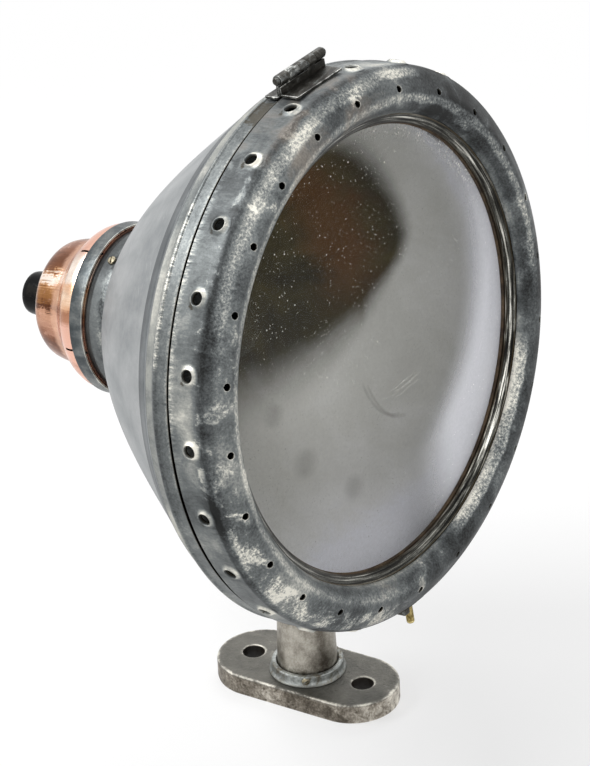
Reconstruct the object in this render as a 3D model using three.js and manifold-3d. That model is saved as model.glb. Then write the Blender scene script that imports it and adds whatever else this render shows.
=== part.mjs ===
// A stage floodlight of spun steel on a cast pedestal: a hinged front ring with its glass,
// a mirror bowl, a copper lampholder cap clamped on the neck, and a post that pans and tilts.
// Millimetres, +Z up. The origin is the centre of the base plate's underside. The plate's
// long side lies along Y and the lamp shines towards -Y.
import * as THREE from "three";
import { mergeVertices } from "three/addons/utils/BufferGeometryUtils.js";
import Module from "manifold-3d";

const wasm = await Module();
wasm.setup();

// Clearances and small sizes that pieces share
const gap = 0.3;
const overrun = 2;
const weld = 0.001;
const slotWidth = 1.2;
const slotDepth = 1;
const roundingShare = 0.33;
const screwCrownShare = 0.6;

// Facets round each kind of piece
const ringFacets = 48;
const bowlFacets = 36;
const capFacets = 36;
const lampFacets = 16;
const postFacets = 24;
const boltFacets = 12;
const rivetFacets = 8;
const hexSides = 6;

// The front ring's radius, which the housing, glass and mirror follow
const ringRadius = 203;
const ringSheet = 1.6;

// Base plate, its collar and the set screw in it
const plateLength = 147;
const plateWidth = 69;
const plateThickness = 16;
const plateBevel = 1.5;
const boltSpacing = 94.4;
const boltHoleRadius = 8.25;
const socketFloor = 4.5;
const spigotRadius = 16;
const collarRadius = 27;
const collarHeight = 8.6;
const collarRound = 2.4;
const setScrewRadius = 3.2;
const setScrewProud = 0.7;
const setScrewAngle = -62;

// Post, with the flat eye at its top
const postFootRadius = 22.8;
const postTopRadius = 20.6;
const pivotHeight = 110.4;
const shoulderBelowPivot = 30.4;
const postShoulderHeight = pivotHeight - shoulderBelowPivot;
const postShoulderRise = 7;
const tangThickness = 14;
const tangWidth = 28;
const eyeRadius = 14;

// How the head stands on the post in the resting pose
const restPan = -4.57;
const restTilt = -7.95;
const pivotBehindFace = 114.2;
const pivotBelowCone = 30.52;

// Tilt bolt, washers and wing nut
const tiltBoltRadius = 4;
const tiltBoltTail = 5;
const boltHeadRadius = 7.4;
const boltHeadHeight = 5.2;
const washerRadius = 9;
const washerThickness = 1.6;
const wingHubRadius = 7;
const wingHubLength = 8;
const wingSpan = 12.5;
const wingThickness = 3;
const wingRise = 7;

// Saddle bracket that carries the housing on the tilt bolt
const earThickness = 4;
const earEyeRadius = 12.5;
const earRootWidth = 34;
const earTopRise = 54.4;
const saddleThickness = 3.4;
const saddleHalfWidth = 33;
const saddleFrontY = 95;
const saddleBackY = 136;
const rivetShankRadius = 2.1;
const rivetHeadRadius = 4.2;
const rivetHeadHeight = 1.8;
const rivetTailRadius = 3.5;
const rivetTailTopRadius = 2.9;
const rivetCrownRadius = 3.4;
const rivetCrownRise = 1.2;
const rivetSpread = 24;
const rivetFrontY = 102;
const rivetBackY = 128;

// Housing: spigot inside the front ring, drum, stepped band, cone and neck
const sheet = 1.5;
const spigotClearance = 5.4;
const spigotOuterRadius = ringRadius - ringSheet - spigotClearance;
const spigotFrontY = 24;
const doorGap = 1.4;
const drumStep = 2.4;
const drumRadius = ringRadius - drumStep;
const drumBackY = 55.4;
const bandFall = 13.2;
const coneFrontRadius = drumRadius - bandFall;
const coneFrontY = 73.6;
const coneRearRadius = 70;
const coneRearY = 205;
const neckRadius = 57.5;
const neckBackY = 234;
const coneSteps = 6;

// Collar screwed over the neck, with the seat of the lampholder cap behind its bead
const beadRise = 3.5;
const beadRadius = neckRadius + beadRise;
const beadBackY = 226.8;
const capSeatRise = 2.4;
const capSeatRadius = neckRadius + capSeatRise;
const neckCollarFrontY = 209.6;
const neckCollarBackY = 246;
const neckScrewRadius = 1.8;
const neckScrewHeadRadius = 3.4;
const neckScrewHeadHeight = 2.3;
const neckScrewY = 218.5;
const neckScrewAngle = -28;
const neckScrewCount = 4;

// Mirror bowl, and the channel clips inside the spigot that hold its flange
const bowlWall = 1.2;
const bowlClipThickness = 1.5;
const bowlClipReach = 7;
const bowlFlangeRadius = spigotOuterRadius - sheet - gap - bowlClipThickness - gap;
const bowlFlangeWidth = 14.4;
const bowlRimRadius = bowlFlangeRadius - bowlFlangeWidth;
const bowlRimBehindSpigot = 5;
const bowlRimY = spigotFrontY + bowlRimBehindSpigot;
const bowlVertexY = 185;
const bowlHoleRadius = 34;
const bowlSteps = 8;
const bowlClipCount = 3;
const bowlClipAngle = 60;
const bowlClipWidth = 16;

// Front ring with its two rows of holes
const ringBackY = 39.4;
const crownDepth = 17;
const crownWidth = 33.8;
const lipRadius = ringRadius - crownWidth;
const lipReturn = 1.9;
const ventOutsideLip = 18.1;
const ventRingRadius = lipRadius + ventOutsideLip;
const ventCount = 24;
const ventAngle = -12.08;
const ventRadius = 2.5;
const ventTopY = 2.2;
const sideHoleY = 22.3;
const sideHoleRadius = 4;
const sideHoleLipRadius = 5.4;
const sideHoleFootRadius = 6.4;
const sideHoleLipHeight = 1.7;
const sideHoleFirst = 10.25;
const sideHolePitch = 15;
const sideHoleCount = 11;

// Glass with its conical frame ring, gasket and spring clips
const frameSheet = 1.2;
const frameOverlap = 6.8;
const frameOuterRadius = lipRadius + frameOverlap;
const frameLedge = 1.2;
const frameBendRadius = lipRadius - frameLedge;
const frameReach = 8;
const frameInnerRadius = lipRadius - frameReach;
const frameConeDepth = 4.6;
const gasketThickness = 1.8;
const gasketOverhang = 0.8;
const glassInset = 3.2;
const glassRadius = lipRadius - glassInset;
const glassThickness = 4;
const glassBulge = 8;
const glassSteps = 3;
const clipAngles = [-135, -45, 45, 135];
const clipWidth = 14;
const clipThickness = 1.4;
const clipFootLength = 13;
const clipReach = 5;

// Door hinge: five knuckles on one pin, above the joint of ring and drum
const hingeHalfLength = 26.4;
const hingeAxisY = 38.7;
const hingeAxisRise = 12.2;
const knuckleRadius = 4;
const knuckleCount = 5;
const hingePinRadius = 1.7;
const hingePinHeadRadius = 3;
const hingePinHeadLength = 1.9;
const leafThickness = 1.7;
const frontLeafLength = 16;
const rearLeafLength = 11.6;

// Latch: a plate under the ring and the brass clamp screw through it
const latchPlateLength = 25;
const latchPlateWidth = 12;
const latchPlateThickness = 3.4;
const latchLugLength = 7;
const latchLugHeight = 7.2;
const latchScrewRadius = 3;
const latchScrewProud = 19.8;
const latchScrewChamfer = 0.9;

// Copper cap: slit skirt, shoulder and domed back
const capWall = 1.4;
const skirtFrontY = 229.4;
const skirtBackY = 247;
const shoulderBackY = 258;
const capStep = 13.8;
const domeBackY = 299;
const slitFirst = -24;
const slitCount = 5;
const slitWidth = 1.6;
const slitBackY = 251;

// Clamp band round the skirt, closed by a screw across two lugs
const bandSheet = 1.8;
const bandWidth = 11.3;
const bandFrontY = 230.4;
const bandSplit = 5;
const bandSplitAngle = 140;
const lugHeight = 11;
const bandScrewRadius = 2.3;
const bandScrewHeadRadius = 4.2;
const bandScrewHeadHeight = 2.8;
const bandNutRadius = 4.6;
const bandNutHeight = 3.6;
const bandScrewTail = 2.2;

// Cable entry: threaded brass nipple, locknut and black bush
const nippleRadius = 13.2;
const nippleBore = 8;
const nippleFrontY = 283;
const nippleBackY = 314;
const threadDepth = 0.6;
const threadPitch = 2.2;
const locknutRadius = 17.5;
const locknutThickness = 3.6;
const bushRadius = 16.4;
const bushFrontY = 304;
const bushBackY = 328;
const bushRound = 3;
const bushBore = 6;

// Porcelain socket on its strap
const socketRadius = 25;
const socketFrontY = 236;
const socketBackY = 272;
const socketFloorY = 265;
const socketBore = 20.8;
const shellWall = 0.8;
const contactRadius = 6;
const contactHeight = 1.6;
const strapThickness = 2;
const strapWidth = 16;
const strapFrontY = 250;
const strapBackY = 287.5;
const strapScrewRadius = 2;
const strapScrewHeadRadius = 3.8;
const strapScrewHeadHeight = 2;
const strapScrewLength = 5;
const strapScrewY = 257;

// Screw-base lamp
const lampBaseFrontY = 222;
const lampBaseBackY = 261;
const lampBaseWall = 0.8;
const lampThreadCount = 4;
const lampRadius = 28;
const lampTipY = 126;
const lampGlassWall = 1;
const lampShoulderY = 192;
const filamentY = 152;
const filamentHalfWidth = 9;
const filamentHalfHeight = 7;
const filamentWire = 0.7;
const filamentTurns = 3;
const filamentTension = 0.2;
const filamentFacets = 3;
const filamentStepsPerBend = 4;
const stemRadius = 5;
const stemFrontY = 186;
const stemPostRadius = 0.9;
const stemPostSpread = 2.7;

// Outline shares, chosen by hand

// Front ring, from the shoulder of its band over the crown to the lip: share of the way from
// lip radius to outer radius, share of the crown's depth
const crownShares = [
  [1, 1],
  [0.976, 0.747],
  [0.911, 0.547],
  [0.536, 0.006],
  [0.385, -0.053],
  [0.107, 0.141],
  [0, 0.388],
];
// Cone, the two inner control points of its curve: share of the fall in radius, share of its run
const coneControlShares = [
  [0.31, 0.361],
  [0.591, 0.749],
];
// Stepped band behind the drum: share of the fall from drum to cone, share of its run
const stepShares = [
  [0.31, 0.093],
  [0.5, 0.379],
  [0.606, 0.637],
  [0.818, 0.797],
];
// Cap shoulder: share of the fall from skirt to dome, share of its run
const shoulderShares = [
  [0.08, 0.39],
  [0.4, 0.72],
  [0.85, 0.92],
];
// Cap dome: share of the dome radius, share of the run from shoulder to back
const domeShares = [
  [1, 0.14],
  [0.99, 0.42],
  [0.93, 0.7],
  [0.75, 0.89],
  [0.523, 0.976],
];
// Lamp glass: share of the bulb radius, share of the run from tip to shoulder
const bulbShares = [
  [0.42, 0.02],
  [0.76, 0.1],
  [0.94, 0.24],
  [1, 0.42],
  [1, 0.78],
];

const radians = THREE.MathUtils.degToRad;
const alongZ = new THREE.Matrix4().makeRotationX(radians(90));
const alongX = new THREE.Matrix4().makeRotationZ(radians(-90));

// A closed geometry as a solid with its faces out.
function solidOf(geometry, matrix) {
  const bare = new THREE.BufferGeometry();
  bare.setAttribute("position", geometry.getAttribute("position").clone());
  if (geometry.index) bare.setIndex(geometry.index);
  if (matrix) bare.applyMatrix4(matrix);
  const merged = mergeVertices(bare, weld);
  const corners = merged.index.array;
  const kept = [];
  for (let i = 0; i < corners.length; i += 3) {
    const [a, b, c] = [corners[i], corners[i + 1], corners[i + 2]];
    if (a !== b && b !== c && c !== a) kept.push(a, b, c);
  }
  const build = (order) =>
    new wasm.Manifold(
      new wasm.Mesh({
        numProp: 3,
        vertProperties: new Float32Array(merged.getAttribute("position").array),
        triVerts: new Uint32Array(order),
      }),
    );
  const solid = build(kept);
  return solid.volume() > 0 ? solid : build(kept.reverse());
}

function geometryOf(solid) {
  const mesh = solid.getMesh();
  const geometry = new THREE.BufferGeometry();
  geometry.setAttribute("position", new THREE.BufferAttribute(mesh.vertProperties, 3));
  geometry.setIndex(new THREE.BufferAttribute(mesh.triVerts, 1));
  geometry.computeVertexNormals();
  return geometry;
}

const join = (first, ...rest) => rest.reduce((sum, next) => sum.add(next), first);
const cut = (first, ...rest) => rest.reduce((left, next) => left.subtract(next), first);

// Profiles are lists of [radius, distance along the axis].
const pointsOf = (profile) => profile.map(([r, y]) => new THREE.Vector2(r, y));

// A turned solid about Y from a profile that closes on itself or ends on the axis.
function turned(profile, facets, matrix) {
  const onAxis = profile[0][0] === 0 && profile[profile.length - 1][0] === 0;
  const outline = onAxis ? profile : [...profile, profile[0]];
  return solidOf(new THREE.LatheGeometry(pointsOf(outline), facets), matrix);
}

// The closed profile of sheet metal: an outline and the same outline moved by the wall to its left.
function sheetProfile(outline, wall) {
  const points = pointsOf(outline);
  const inner = points.map((point, i) => {
    const before = points[Math.max(i - 1, 0)];
    const after = points[Math.min(i + 1, points.length - 1)];
    const into = point.clone().sub(before).normalize();
    const out = after.clone().sub(point).normalize();
    if (i === 0) into.copy(out);
    if (i === points.length - 1) out.copy(into);
    const side = into.clone().add(out).normalize();
    const normal = new THREE.Vector2(-side.y, side.x);
    const spread = Math.sqrt((1 + into.dot(out)) / 2);
    return point.clone().addScaledVector(normal, wall / spread);
  });
  return [...points, ...inner.reverse()].map((p) => [p.x, p.y]);
}

function ringOf(inner, outer, front, back, facets) {
  return turned([[inner, front], [outer, front], [outer, back], [inner, back]], facets);
}

// A rod about Y between two places on the axis.
function rod(radius, front, back, facets, matrix) {
  return turned([[0, front], [radius, front], [radius, back], [0, back]], facets, matrix);
}

// A rod or plate built along Y, turned to point out along +Z, then carried round the Y axis.
function radial(angle, y) {
  return new THREE.Matrix4()
    .makeRotationY(radians(angle))
    .multiply(new THREE.Matrix4().makeTranslation(0, y, 0))
    .multiply(alongZ);
}

// The part of a turned solid that lies within a width about its +Z side.
function sector(solid, width) {
  const { min, max } = solid.boundingBox();
  const wedge = block(
    [-width / 2, min[1] - overrun, 0],
    [width / 2, max[1] + overrun, max[2] + overrun],
  );
  return solid.intersect(wedge);
}

// A block from its lowest to its highest corner.
function block(low, high, matrix) {
  const size = high.map((value, i) => value - low[i]);
  const centre = high.map((value, i) => (value + low[i]) / 2);
  const geometry = new THREE.BoxGeometry(...size).translate(...centre);
  return solidOf(geometry, matrix);
}

// An outline in the YZ plane given thickness along X.
function plateAcrossX(shape, fromX, toX) {
  const geometry = new THREE.ExtrudeGeometry(shape, {
    depth: toX - fromX,
    bevelEnabled: false,
    curveSegments: boltFacets,
  });
  const yzToX = new THREE.Matrix4().makeBasis(
    new THREE.Vector3(0, 1, 0),
    new THREE.Vector3(0, 0, 1),
    new THREE.Vector3(1, 0, 0),
  );
  geometry.applyMatrix4(yzToX).translate(fromX, 0, 0);
  return solidOf(geometry);
}

function metal(color, roughness) {
  return new THREE.MeshStandardMaterial({ color, roughness, metalness: 1 });
}

function dielectric(color, roughness) {
  return new THREE.MeshStandardMaterial({ color, roughness, metalness: 0 });
}

const steel = () => metal(0x6f777b, 0.45);
const darkSteel = () => metal(0x4a4f52, 0.5);
const brightSteel = () => metal(0x9a9d9e, 0.35);
const castIron = () => metal(0x6b655e, 0.6);
const nickel = () => metal(0x9c948a, 0.4);
const copper = () => metal(0xd9987c, 0.25);
const brass = () => metal(0xb39a55, 0.35);
const mirror = () => metal(0xc9ccce, 0.12);
const rubber = () => dielectric(0x15161a, 0.4);
const felt = () => dielectric(0x4a3a2c, 0.9);
const porcelain = () => dielectric(0xe6e2d8, 0.3);
const glass = () =>
  new THREE.MeshStandardMaterial({
    color: 0xdfe5e6,
    roughness: 0.05,
    metalness: 0,
    transparent: true,
    opacity: 0.3,
  });

// Puts a solid into a group as a named piece.
function place(group, name, solid, material) {
  const mesh = new THREE.Mesh(geometryOf(solid), material);
  mesh.name = name;
  group.add(mesh);
  return mesh;
}

// Base

function stadium(length, width) {
  const end = width / 2;
  const reach = length / 2 - end;
  const shape = new THREE.Shape();
  shape.absarc(0, reach, end, 0, Math.PI, false);
  shape.absarc(0, -reach, end, Math.PI, 2 * Math.PI, false);
  return shape;
}

function basePlate() {
  const outline = stadium(plateLength - 2 * plateBevel, plateWidth - 2 * plateBevel);
  const geometry = new THREE.ExtrudeGeometry(outline, {
    depth: plateThickness - 2 * plateBevel,
    bevelThickness: plateBevel,
    bevelSize: plateBevel,
    bevelSegments: 1,
    curveSegments: boltFacets,
  });
  geometry.translate(0, 0, plateBevel);
  const hole = rod(boltHoleRadius, -overrun, plateThickness + overrun, lampFacets, alongZ);
  const socket = rod(
    spigotRadius + gap,
    socketFloor,
    plateThickness + overrun,
    postFacets,
    alongZ,
  );
  const [near, far] = [-boltSpacing / 2, boltSpacing / 2].map((y) => hole.translate([0, y, 0]));
  return cut(solidOf(geometry), near, far, socket);
}

// Places a thing at the set screw's side of the collar, with +Y pointing outwards.
const towardsSetScrew = new THREE.Matrix4()
  .makeRotationZ(radians(180 + setScrewAngle))
  .setPosition(0, 0, plateThickness + collarHeight / 2);

function postCollar() {
  const inner = postFootRadius + gap;
  const low = plateThickness + gap;
  const top = plateThickness + collarHeight;
  const ring = turned(
    [
      [inner, low],
      [collarRadius, low],
      [collarRadius, top - collarRound],
      [collarRadius - collarRound * roundingShare, top - collarRound * roundingShare],
      [collarRadius - collarRound, top],
      [inner, top],
    ],
    postFacets,
    alongZ,
  );
  const hole = rod(setScrewRadius + gap, 0, collarRadius + overrun, boltFacets, towardsSetScrew);
  return cut(ring, hole);
}

// A slot across the outer end of a screw whose head faces +Y at the given distance.
function slotAt(end, radius) {
  return block(
    [-radius - overrun, end - slotDepth, -slotWidth / 2],
    [radius + overrun, end + overrun, slotWidth / 2],
  );
}

function setScrew() {
  const end = collarRadius + setScrewProud;
  const grub = rod(setScrewRadius, postFootRadius + 2 * gap, end, boltFacets);
  return cut(grub, slotAt(end, setScrewRadius));
}

// Post

function post() {
  const shoulder = postShoulderHeight;
  const body = turned(
    [
      [0, socketFloor + gap],
      [spigotRadius, socketFloor + gap],
      [spigotRadius, plateThickness + gap],
      [postFootRadius, plateThickness + gap],
      [postTopRadius, shoulder],
      [(postTopRadius + tangThickness / 2) / 2, shoulder + postShoulderRise],
      [0, shoulder + postShoulderRise],
    ],
    postFacets,
    alongZ,
  );
  const outline = new THREE.Shape();
  const half = tangWidth / 2;
  outline.moveTo(-half, shoulder - postShoulderRise);
  outline.lineTo(half, shoulder - postShoulderRise);
  outline.absarc(0, pivotHeight, eyeRadius, 0, Math.PI, false);
  const tang = plateAcrossX(outline, -tangThickness / 2, tangThickness / 2);
  const bore = rod(tiltBoltRadius + gap, -tangThickness, tangThickness, boltFacets, alongX);
  return cut(join(body, tang), bore.translate([0, 0, pivotHeight]));
}

// Housing curve

const alongCone = (share) => {
  const [nearShare, farShare] = coneControlShares;
  const fall = coneFrontRadius - coneRearRadius;
  const run = coneRearY - coneFrontY;
  const curve = new THREE.CubicBezierCurve(
    new THREE.Vector2(coneFrontRadius, coneFrontY),
    new THREE.Vector2(coneFrontRadius - nearShare[0] * fall, coneFrontY + nearShare[1] * run),
    new THREE.Vector2(coneFrontRadius - farShare[0] * fall, coneFrontY + farShare[1] * run),
    new THREE.Vector2(coneRearRadius, coneRearY),
  );
  return curve.getPoint(share);
};

const conePoints = Array.from({ length: coneSteps + 1 }, (_, i) => {
  const point = alongCone(i / coneSteps);
  return [point.x, point.y];
});

// The cone's radius and the lean of its surface at a distance along the axis.
function coneAt(y) {
  const i = conePoints.findIndex(([, far]) => far >= y);
  const [[r0, y0], [r1, y1]] = [conePoints[i - 1], conePoints[i]];
  const share = (y - y0) / (y1 - y0);
  return { radius: r0 + share * (r1 - r0), lean: Math.atan2(r0 - r1, y1 - y0) };
}

const pivotBelowAxis = coneAt(pivotBehindFace).radius + pivotBelowCone;
const drumFrontY = ringBackY + doorGap;
const bandRun = coneFrontY - drumBackY;
const steppedBand = stepShares.map(([r, y]) => [drumRadius - r * bandFall, drumBackY + y * bandRun]);

function housingOutline() {
  return [
    [spigotOuterRadius, spigotFrontY],
    [spigotOuterRadius, drumFrontY],
    [drumRadius, drumFrontY],
    [drumRadius, drumBackY],
    ...steppedBand,
    ...conePoints,
    [neckRadius + sheet, neckCollarFrontY - sheet],
    [neckRadius, neckCollarFrontY],
    [neckRadius, neckBackY],
  ];
}

function housingShell(rivets, neckHoles) {
  const shell = turned(sheetProfile(housingOutline(), sheet), ringFacets);
  return cut(shell, ...rivets, ...neckHoles);
}

// Saddle bracket and rivets

// Everything of the cone within a distance of its outer surface, down to the axis.
function coneCore(proud) {
  const outline = sheetProfile(conePoints, -proud).slice(conePoints.length);
  const grown = outline.reverse();
  return turned(
    [[0, grown[0][1]], ...grown, [0, grown[grown.length - 1][1]]],
    ringFacets,
  );
}

function earOutline() {
  const outline = new THREE.Shape();
  const half = earRootWidth / 2;
  const top = -pivotBelowAxis + earTopRise;
  outline.moveTo(pivotBehindFace + half, top);
  outline.lineTo(pivotBehindFace - half, top);
  outline.lineTo(pivotBehindFace - earEyeRadius, -pivotBelowAxis + earEyeRadius);
  outline.absarc(pivotBehindFace, -pivotBelowAxis, earEyeRadius, Math.PI, 2 * Math.PI, false);
  outline.lineTo(pivotBehindFace + half, -pivotBelowAxis + earRootWidth / 2);
  return outline;
}

const earInnerX = tangThickness / 2 + washerThickness + 2 * gap;
const earOuterX = earInnerX + earThickness;

function tiltBracket(rivets) {
  const saddleTop = -coneAt(saddleBackY).radius + 2 * saddleThickness;
  const region = block(
    [-saddleHalfWidth, saddleFrontY, -pivotBelowAxis],
    [saddleHalfWidth, saddleBackY, saddleTop],
  );
  const saddle = region.intersect(coneCore(gap + saddleThickness));
  const ears = [-1, 1].map((side) => {
    const [from, to] = side < 0 ? [-earOuterX, -earInnerX] : [earInnerX, earOuterX];
    return plateAcrossX(earOutline(), from, to);
  });
  const beyond = earOuterX + overrun;
  const bore = rod(tiltBoltRadius + gap, -beyond, beyond, boltFacets, alongX);
  const trimmed = cut(join(saddle, ...ears), coneCore(gap));
  return cut(trimmed, bore.translate([0, pivotBehindFace, -pivotBelowAxis]), ...rivets);
}

// Carries a rod along +Y onto the underside of the cone, pointing out of its surface.
function underCone(x, y) {
  const { radius, lean } = coneAt(y);
  const angle = 180 + THREE.MathUtils.radToDeg(Math.asin(-x / radius));
  return new THREE.Matrix4()
    .makeRotationY(radians(angle))
    .multiply(new THREE.Matrix4().makeTranslation(0, y, radius))
    .multiply(new THREE.Matrix4().makeRotationX(radians(90) - lean));
}

const rivetPlaces = [rivetFrontY, rivetBackY].flatMap((y) =>
  [-rivetSpread, rivetSpread].map((x) => underCone(x, y)),
);
const rivetOut = gap + saddleThickness + gap;

const rivetHoles = () =>
  rivetPlaces.map((matrix) =>
    rod(rivetShankRadius + gap, -overrun - sheet, rivetOut + overrun, rivetFacets, matrix),
  );

function rivet() {
  const inside = -sheet - 2 * gap;
  return turned(
    [
      [0, inside - rivetHeadHeight],
      [rivetTailTopRadius, inside - rivetHeadHeight],
      [rivetTailRadius, inside],
      [rivetShankRadius, inside],
      [rivetShankRadius, rivetOut],
      [rivetHeadRadius, rivetOut],
      [rivetCrownRadius, rivetOut + rivetCrownRise],
      [0, rivetOut + rivetHeadHeight],
    ],
    rivetFacets,
  );
}

// Tilt bolt, washers and wing nut, all along X at the pivot

const wingNutFrom = earOuterX + gap;

function tiltBolt() {
  const headFrom = -earOuterX - gap - boltHeadHeight;
  const head = rod(boltHeadRadius, headFrom, -earOuterX - gap, hexSides, alongX);
  const tail = wingNutFrom + wingHubLength + tiltBoltTail;
  const shank = rod(tiltBoltRadius, -earOuterX - 2 * gap, tail, boltFacets, alongX);
  return join(head, shank);
}

function tiltWasher() {
  const inner = tiltBoltRadius + gap;
  const half = washerThickness / 2;
  return turned(
    [[inner, -half], [washerRadius, -half], [washerRadius, half], [inner, half]],
    boltFacets,
    alongX,
  );
}

function wingNut() {
  const to = wingNutFrom + wingHubLength;
  const hub = rod(wingHubRadius, wingNutFrom, to, boltFacets, alongX);
  const wing = block(
    [wingNutFrom + wingThickness, -wingSpan, -wingThickness / 2],
    [to + wingRise, wingSpan, wingThickness / 2],
  );
  const beyond = to + wingRise + overrun;
  const bore = rod(tiltBoltRadius + gap, wingNutFrom - overrun, beyond, boltFacets, alongX);
  const clear = rod(wingHubRadius, to, beyond, boltFacets, alongX);
  return cut(join(hub, cut(wing, clear)), bore);
}

// Neck collar and its screws

function neckCollar(holes) {
  const inner = neckRadius + gap;
  const round = beadRadius - capSeatRadius;
  const collar = turned(
    [
      [inner, neckCollarFrontY + gap],
      [beadRadius - round, neckCollarFrontY + gap],
      [beadRadius, neckCollarFrontY + gap + round],
      [beadRadius, beadBackY - round],
      [capSeatRadius, beadBackY],
      [capSeatRadius, neckCollarBackY],
      [inner, neckCollarBackY],
    ],
    capFacets,
  );
  return cut(collar, ...holes);
}

const neckScrewAngles = Array.from(
  { length: neckScrewCount },
  (_, i) => neckScrewAngle + (360 / neckScrewCount) * i,
);

const neckHoles = () =>
  neckScrewAngles.map((angle) =>
    rod(
      neckScrewRadius + gap,
      neckRadius - sheet - overrun,
      beadRadius + overrun,
      rivetFacets,
      radial(angle, neckScrewY),
    ),
  );

function neckScrew() {
  const seat = beadRadius + gap;
  const top = seat + neckScrewHeadHeight;
  const screw = turned(
    [
      [0, neckRadius - sheet - gap],
      [neckScrewRadius, neckRadius - sheet - gap],
      [neckScrewRadius, seat],
      [neckScrewHeadRadius, seat],
      [neckScrewHeadRadius, top - neckScrewHeadHeight / 2],
      [neckScrewHeadRadius * screwCrownShare, top],
      [0, top],
    ],
    boltFacets,
  );
  return cut(screw, slotAt(top, neckScrewHeadRadius));
}

// Mirror bowl

function bowlOutline() {
  const fourFocal = bowlRimRadius ** 2 / (bowlVertexY - bowlRimY);
  const curve = Array.from({ length: bowlSteps + 1 }, (_, i) => {
    const r = bowlRimRadius + (i / bowlSteps) * (bowlHoleRadius - bowlRimRadius);
    return [r, bowlVertexY - r ** 2 / fourFocal];
  });
  return [[bowlFlangeRadius, bowlRimY], ...curve];
}

const mirrorBowl = () => turned(sheetProfile(bowlOutline(), -bowlWall), bowlFacets);

// A channel clip on the spigot's inside, open towards the axis, with the bowl's flange in it.
function bowlClip() {
  const wall = spigotOuterRadius - sheet - gap;
  const front = bowlRimY - gap - bowlClipThickness;
  const back = bowlRimY + bowlWall + gap + bowlClipThickness;
  const inner = bowlFlangeRadius - bowlClipReach;
  const outline = [
    [inner, front],
    [wall, front],
    [wall, back],
    [inner, back],
  ];
  return sector(turned(sheetProfile(outline, bowlClipThickness), ringFacets), bowlClipWidth);
}

// Front ring

function crownOutline() {
  return crownShares.map(([r, y]) => [lipRadius + r * crownWidth, y * crownDepth]);
}

function frontRing() {
  const crown = crownOutline();
  const lip = crown[crown.length - 1];
  const outline = [[ringRadius, ringBackY], ...crown, [lip[0], lip[1] + lipReturn]];
  const ring = turned(sheetProfile(outline, -ringSheet), ringFacets);
  const sideAngles = Array.from({ length: sideHoleCount }, (_, i) => sideHoleFirst + sideHolePitch * i);
  const both = sideAngles.flatMap((angle) => [-angle, angle]);
  const bosses = both.map((angle) => sideHoleBoss(angle));
  const bores = both.map((angle) => sideHoleBore(angle, sideHoleRadius));
  const ventPitch = 360 / ventCount;
  const vents = Array.from({ length: ventCount }, (_, i) => vent(ventAngle - ventPitch * i));
  const latchBore = sideHoleBore(180, latchScrewRadius + gap);
  return cut(join(ring, ...bosses), ...bores, ...vents, latchBore);
}

function sideHoleBoss(angle) {
  const low = ringRadius - ringSheet / 2;
  return turned(
    [
      [0, low],
      [sideHoleFootRadius, low],
      [sideHoleLipRadius, ringRadius + sideHoleLipHeight],
      [0, ringRadius + sideHoleLipHeight],
    ],
    rivetFacets,
    radial(angle, sideHoleY),
  );
}

function sideHoleBore(angle, radius) {
  const low = ringRadius - ringSheet - overrun;
  const high = ringRadius + sideHoleLipHeight + overrun;
  return rod(radius, low, high, rivetFacets, radial(angle, sideHoleY));
}

function vent(angle) {
  const place = new THREE.Matrix4()
    .makeRotationY(radians(angle))
    .multiply(new THREE.Matrix4().makeTranslation(0, 0, ventRingRadius));
  return rod(ventRadius, -ventTopY - overrun, ventTopY + ringSheet + overrun, hexSides, place);
}

// Glass, its frame ring, gasket and clips

const lipEndY = crownShares[crownShares.length - 1][1] * crownDepth + lipReturn;
const frameY = lipEndY + gap;
const gasketY = frameY + frameConeDepth + frameSheet + gap;
const glassY = gasketY + gasketThickness + gap;

function frameRing() {
  const outline = [
    [frameOuterRadius, frameY],
    [frameBendRadius, frameY],
    [frameInnerRadius, frameY + frameConeDepth],
  ];
  return turned(sheetProfile(outline, -frameSheet), ringFacets);
}

const gasket = () =>
  ringOf(frameInnerRadius - gasketOverhang, glassRadius, gasketY, gasketY + gasketThickness, bowlFacets);

function glassDisc() {
  const domeEnd = frameInnerRadius - gasketOverhang - gap;
  const face = (y) => {
    const dome = Array.from({ length: glassSteps + 1 }, (_, i) => {
      const share = i / glassSteps;
      return [domeEnd * share, y - glassBulge * (1 - share ** 2)];
    });
    return [...dome, [glassRadius, y]];
  };
  return turned([...face(glassY), ...face(glassY + glassThickness).reverse()], bowlFacets);
}

function glassClip() {
  const front = glassY + glassThickness + gap;
  const wall = ringRadius - ringSheet - gap;
  const outline = [
    [wall, front + clipFootLength],
    [wall, front],
    [glassRadius - clipReach, front],
  ];
  return sector(turned(sheetProfile(outline, -clipThickness), ringFacets), clipWidth);
}

// Hinge

const hingeAxisZ = ringRadius + hingeAxisRise;
const knuckleLength = (2 * hingeHalfLength) / knuckleCount;

// One leaf: its plate, its upstand and every second knuckle, less room for the other's.
function hingeLeaf(plateFrom, plateTo, plateZ, upFrom, upTo, firstKnuckle) {
  const plate = block(
    [-hingeHalfLength, plateFrom, plateZ],
    [hingeHalfLength, plateTo, plateZ + leafThickness],
  );
  const upstand = block(
    [-hingeHalfLength, upFrom, plateZ],
    [hingeHalfLength, upTo, hingeAxisZ],
  );
  const barrel = (radius, from, to) =>
    rod(radius, from, to, boltFacets, alongX).translate([0, hingeAxisY, hingeAxisZ]);
  const own = [];
  const others = [];
  for (let i = 0; i < knuckleCount; i += 1) {
    const from = -hingeHalfLength + i * knuckleLength;
    const mine = i % 2 === firstKnuckle;
    if (mine) own.push(barrel(knuckleRadius, from + gap / 2, from + knuckleLength - gap / 2));
    else others.push(barrel(knuckleRadius + gap, from - gap / 2, from + knuckleLength + gap / 2));
  }
  const bore = barrel(hingePinRadius + gap, -hingeHalfLength - overrun, hingeHalfLength + overrun);
  return cut(join(plate, cut(upstand, ...others), ...own), bore);
}

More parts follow.
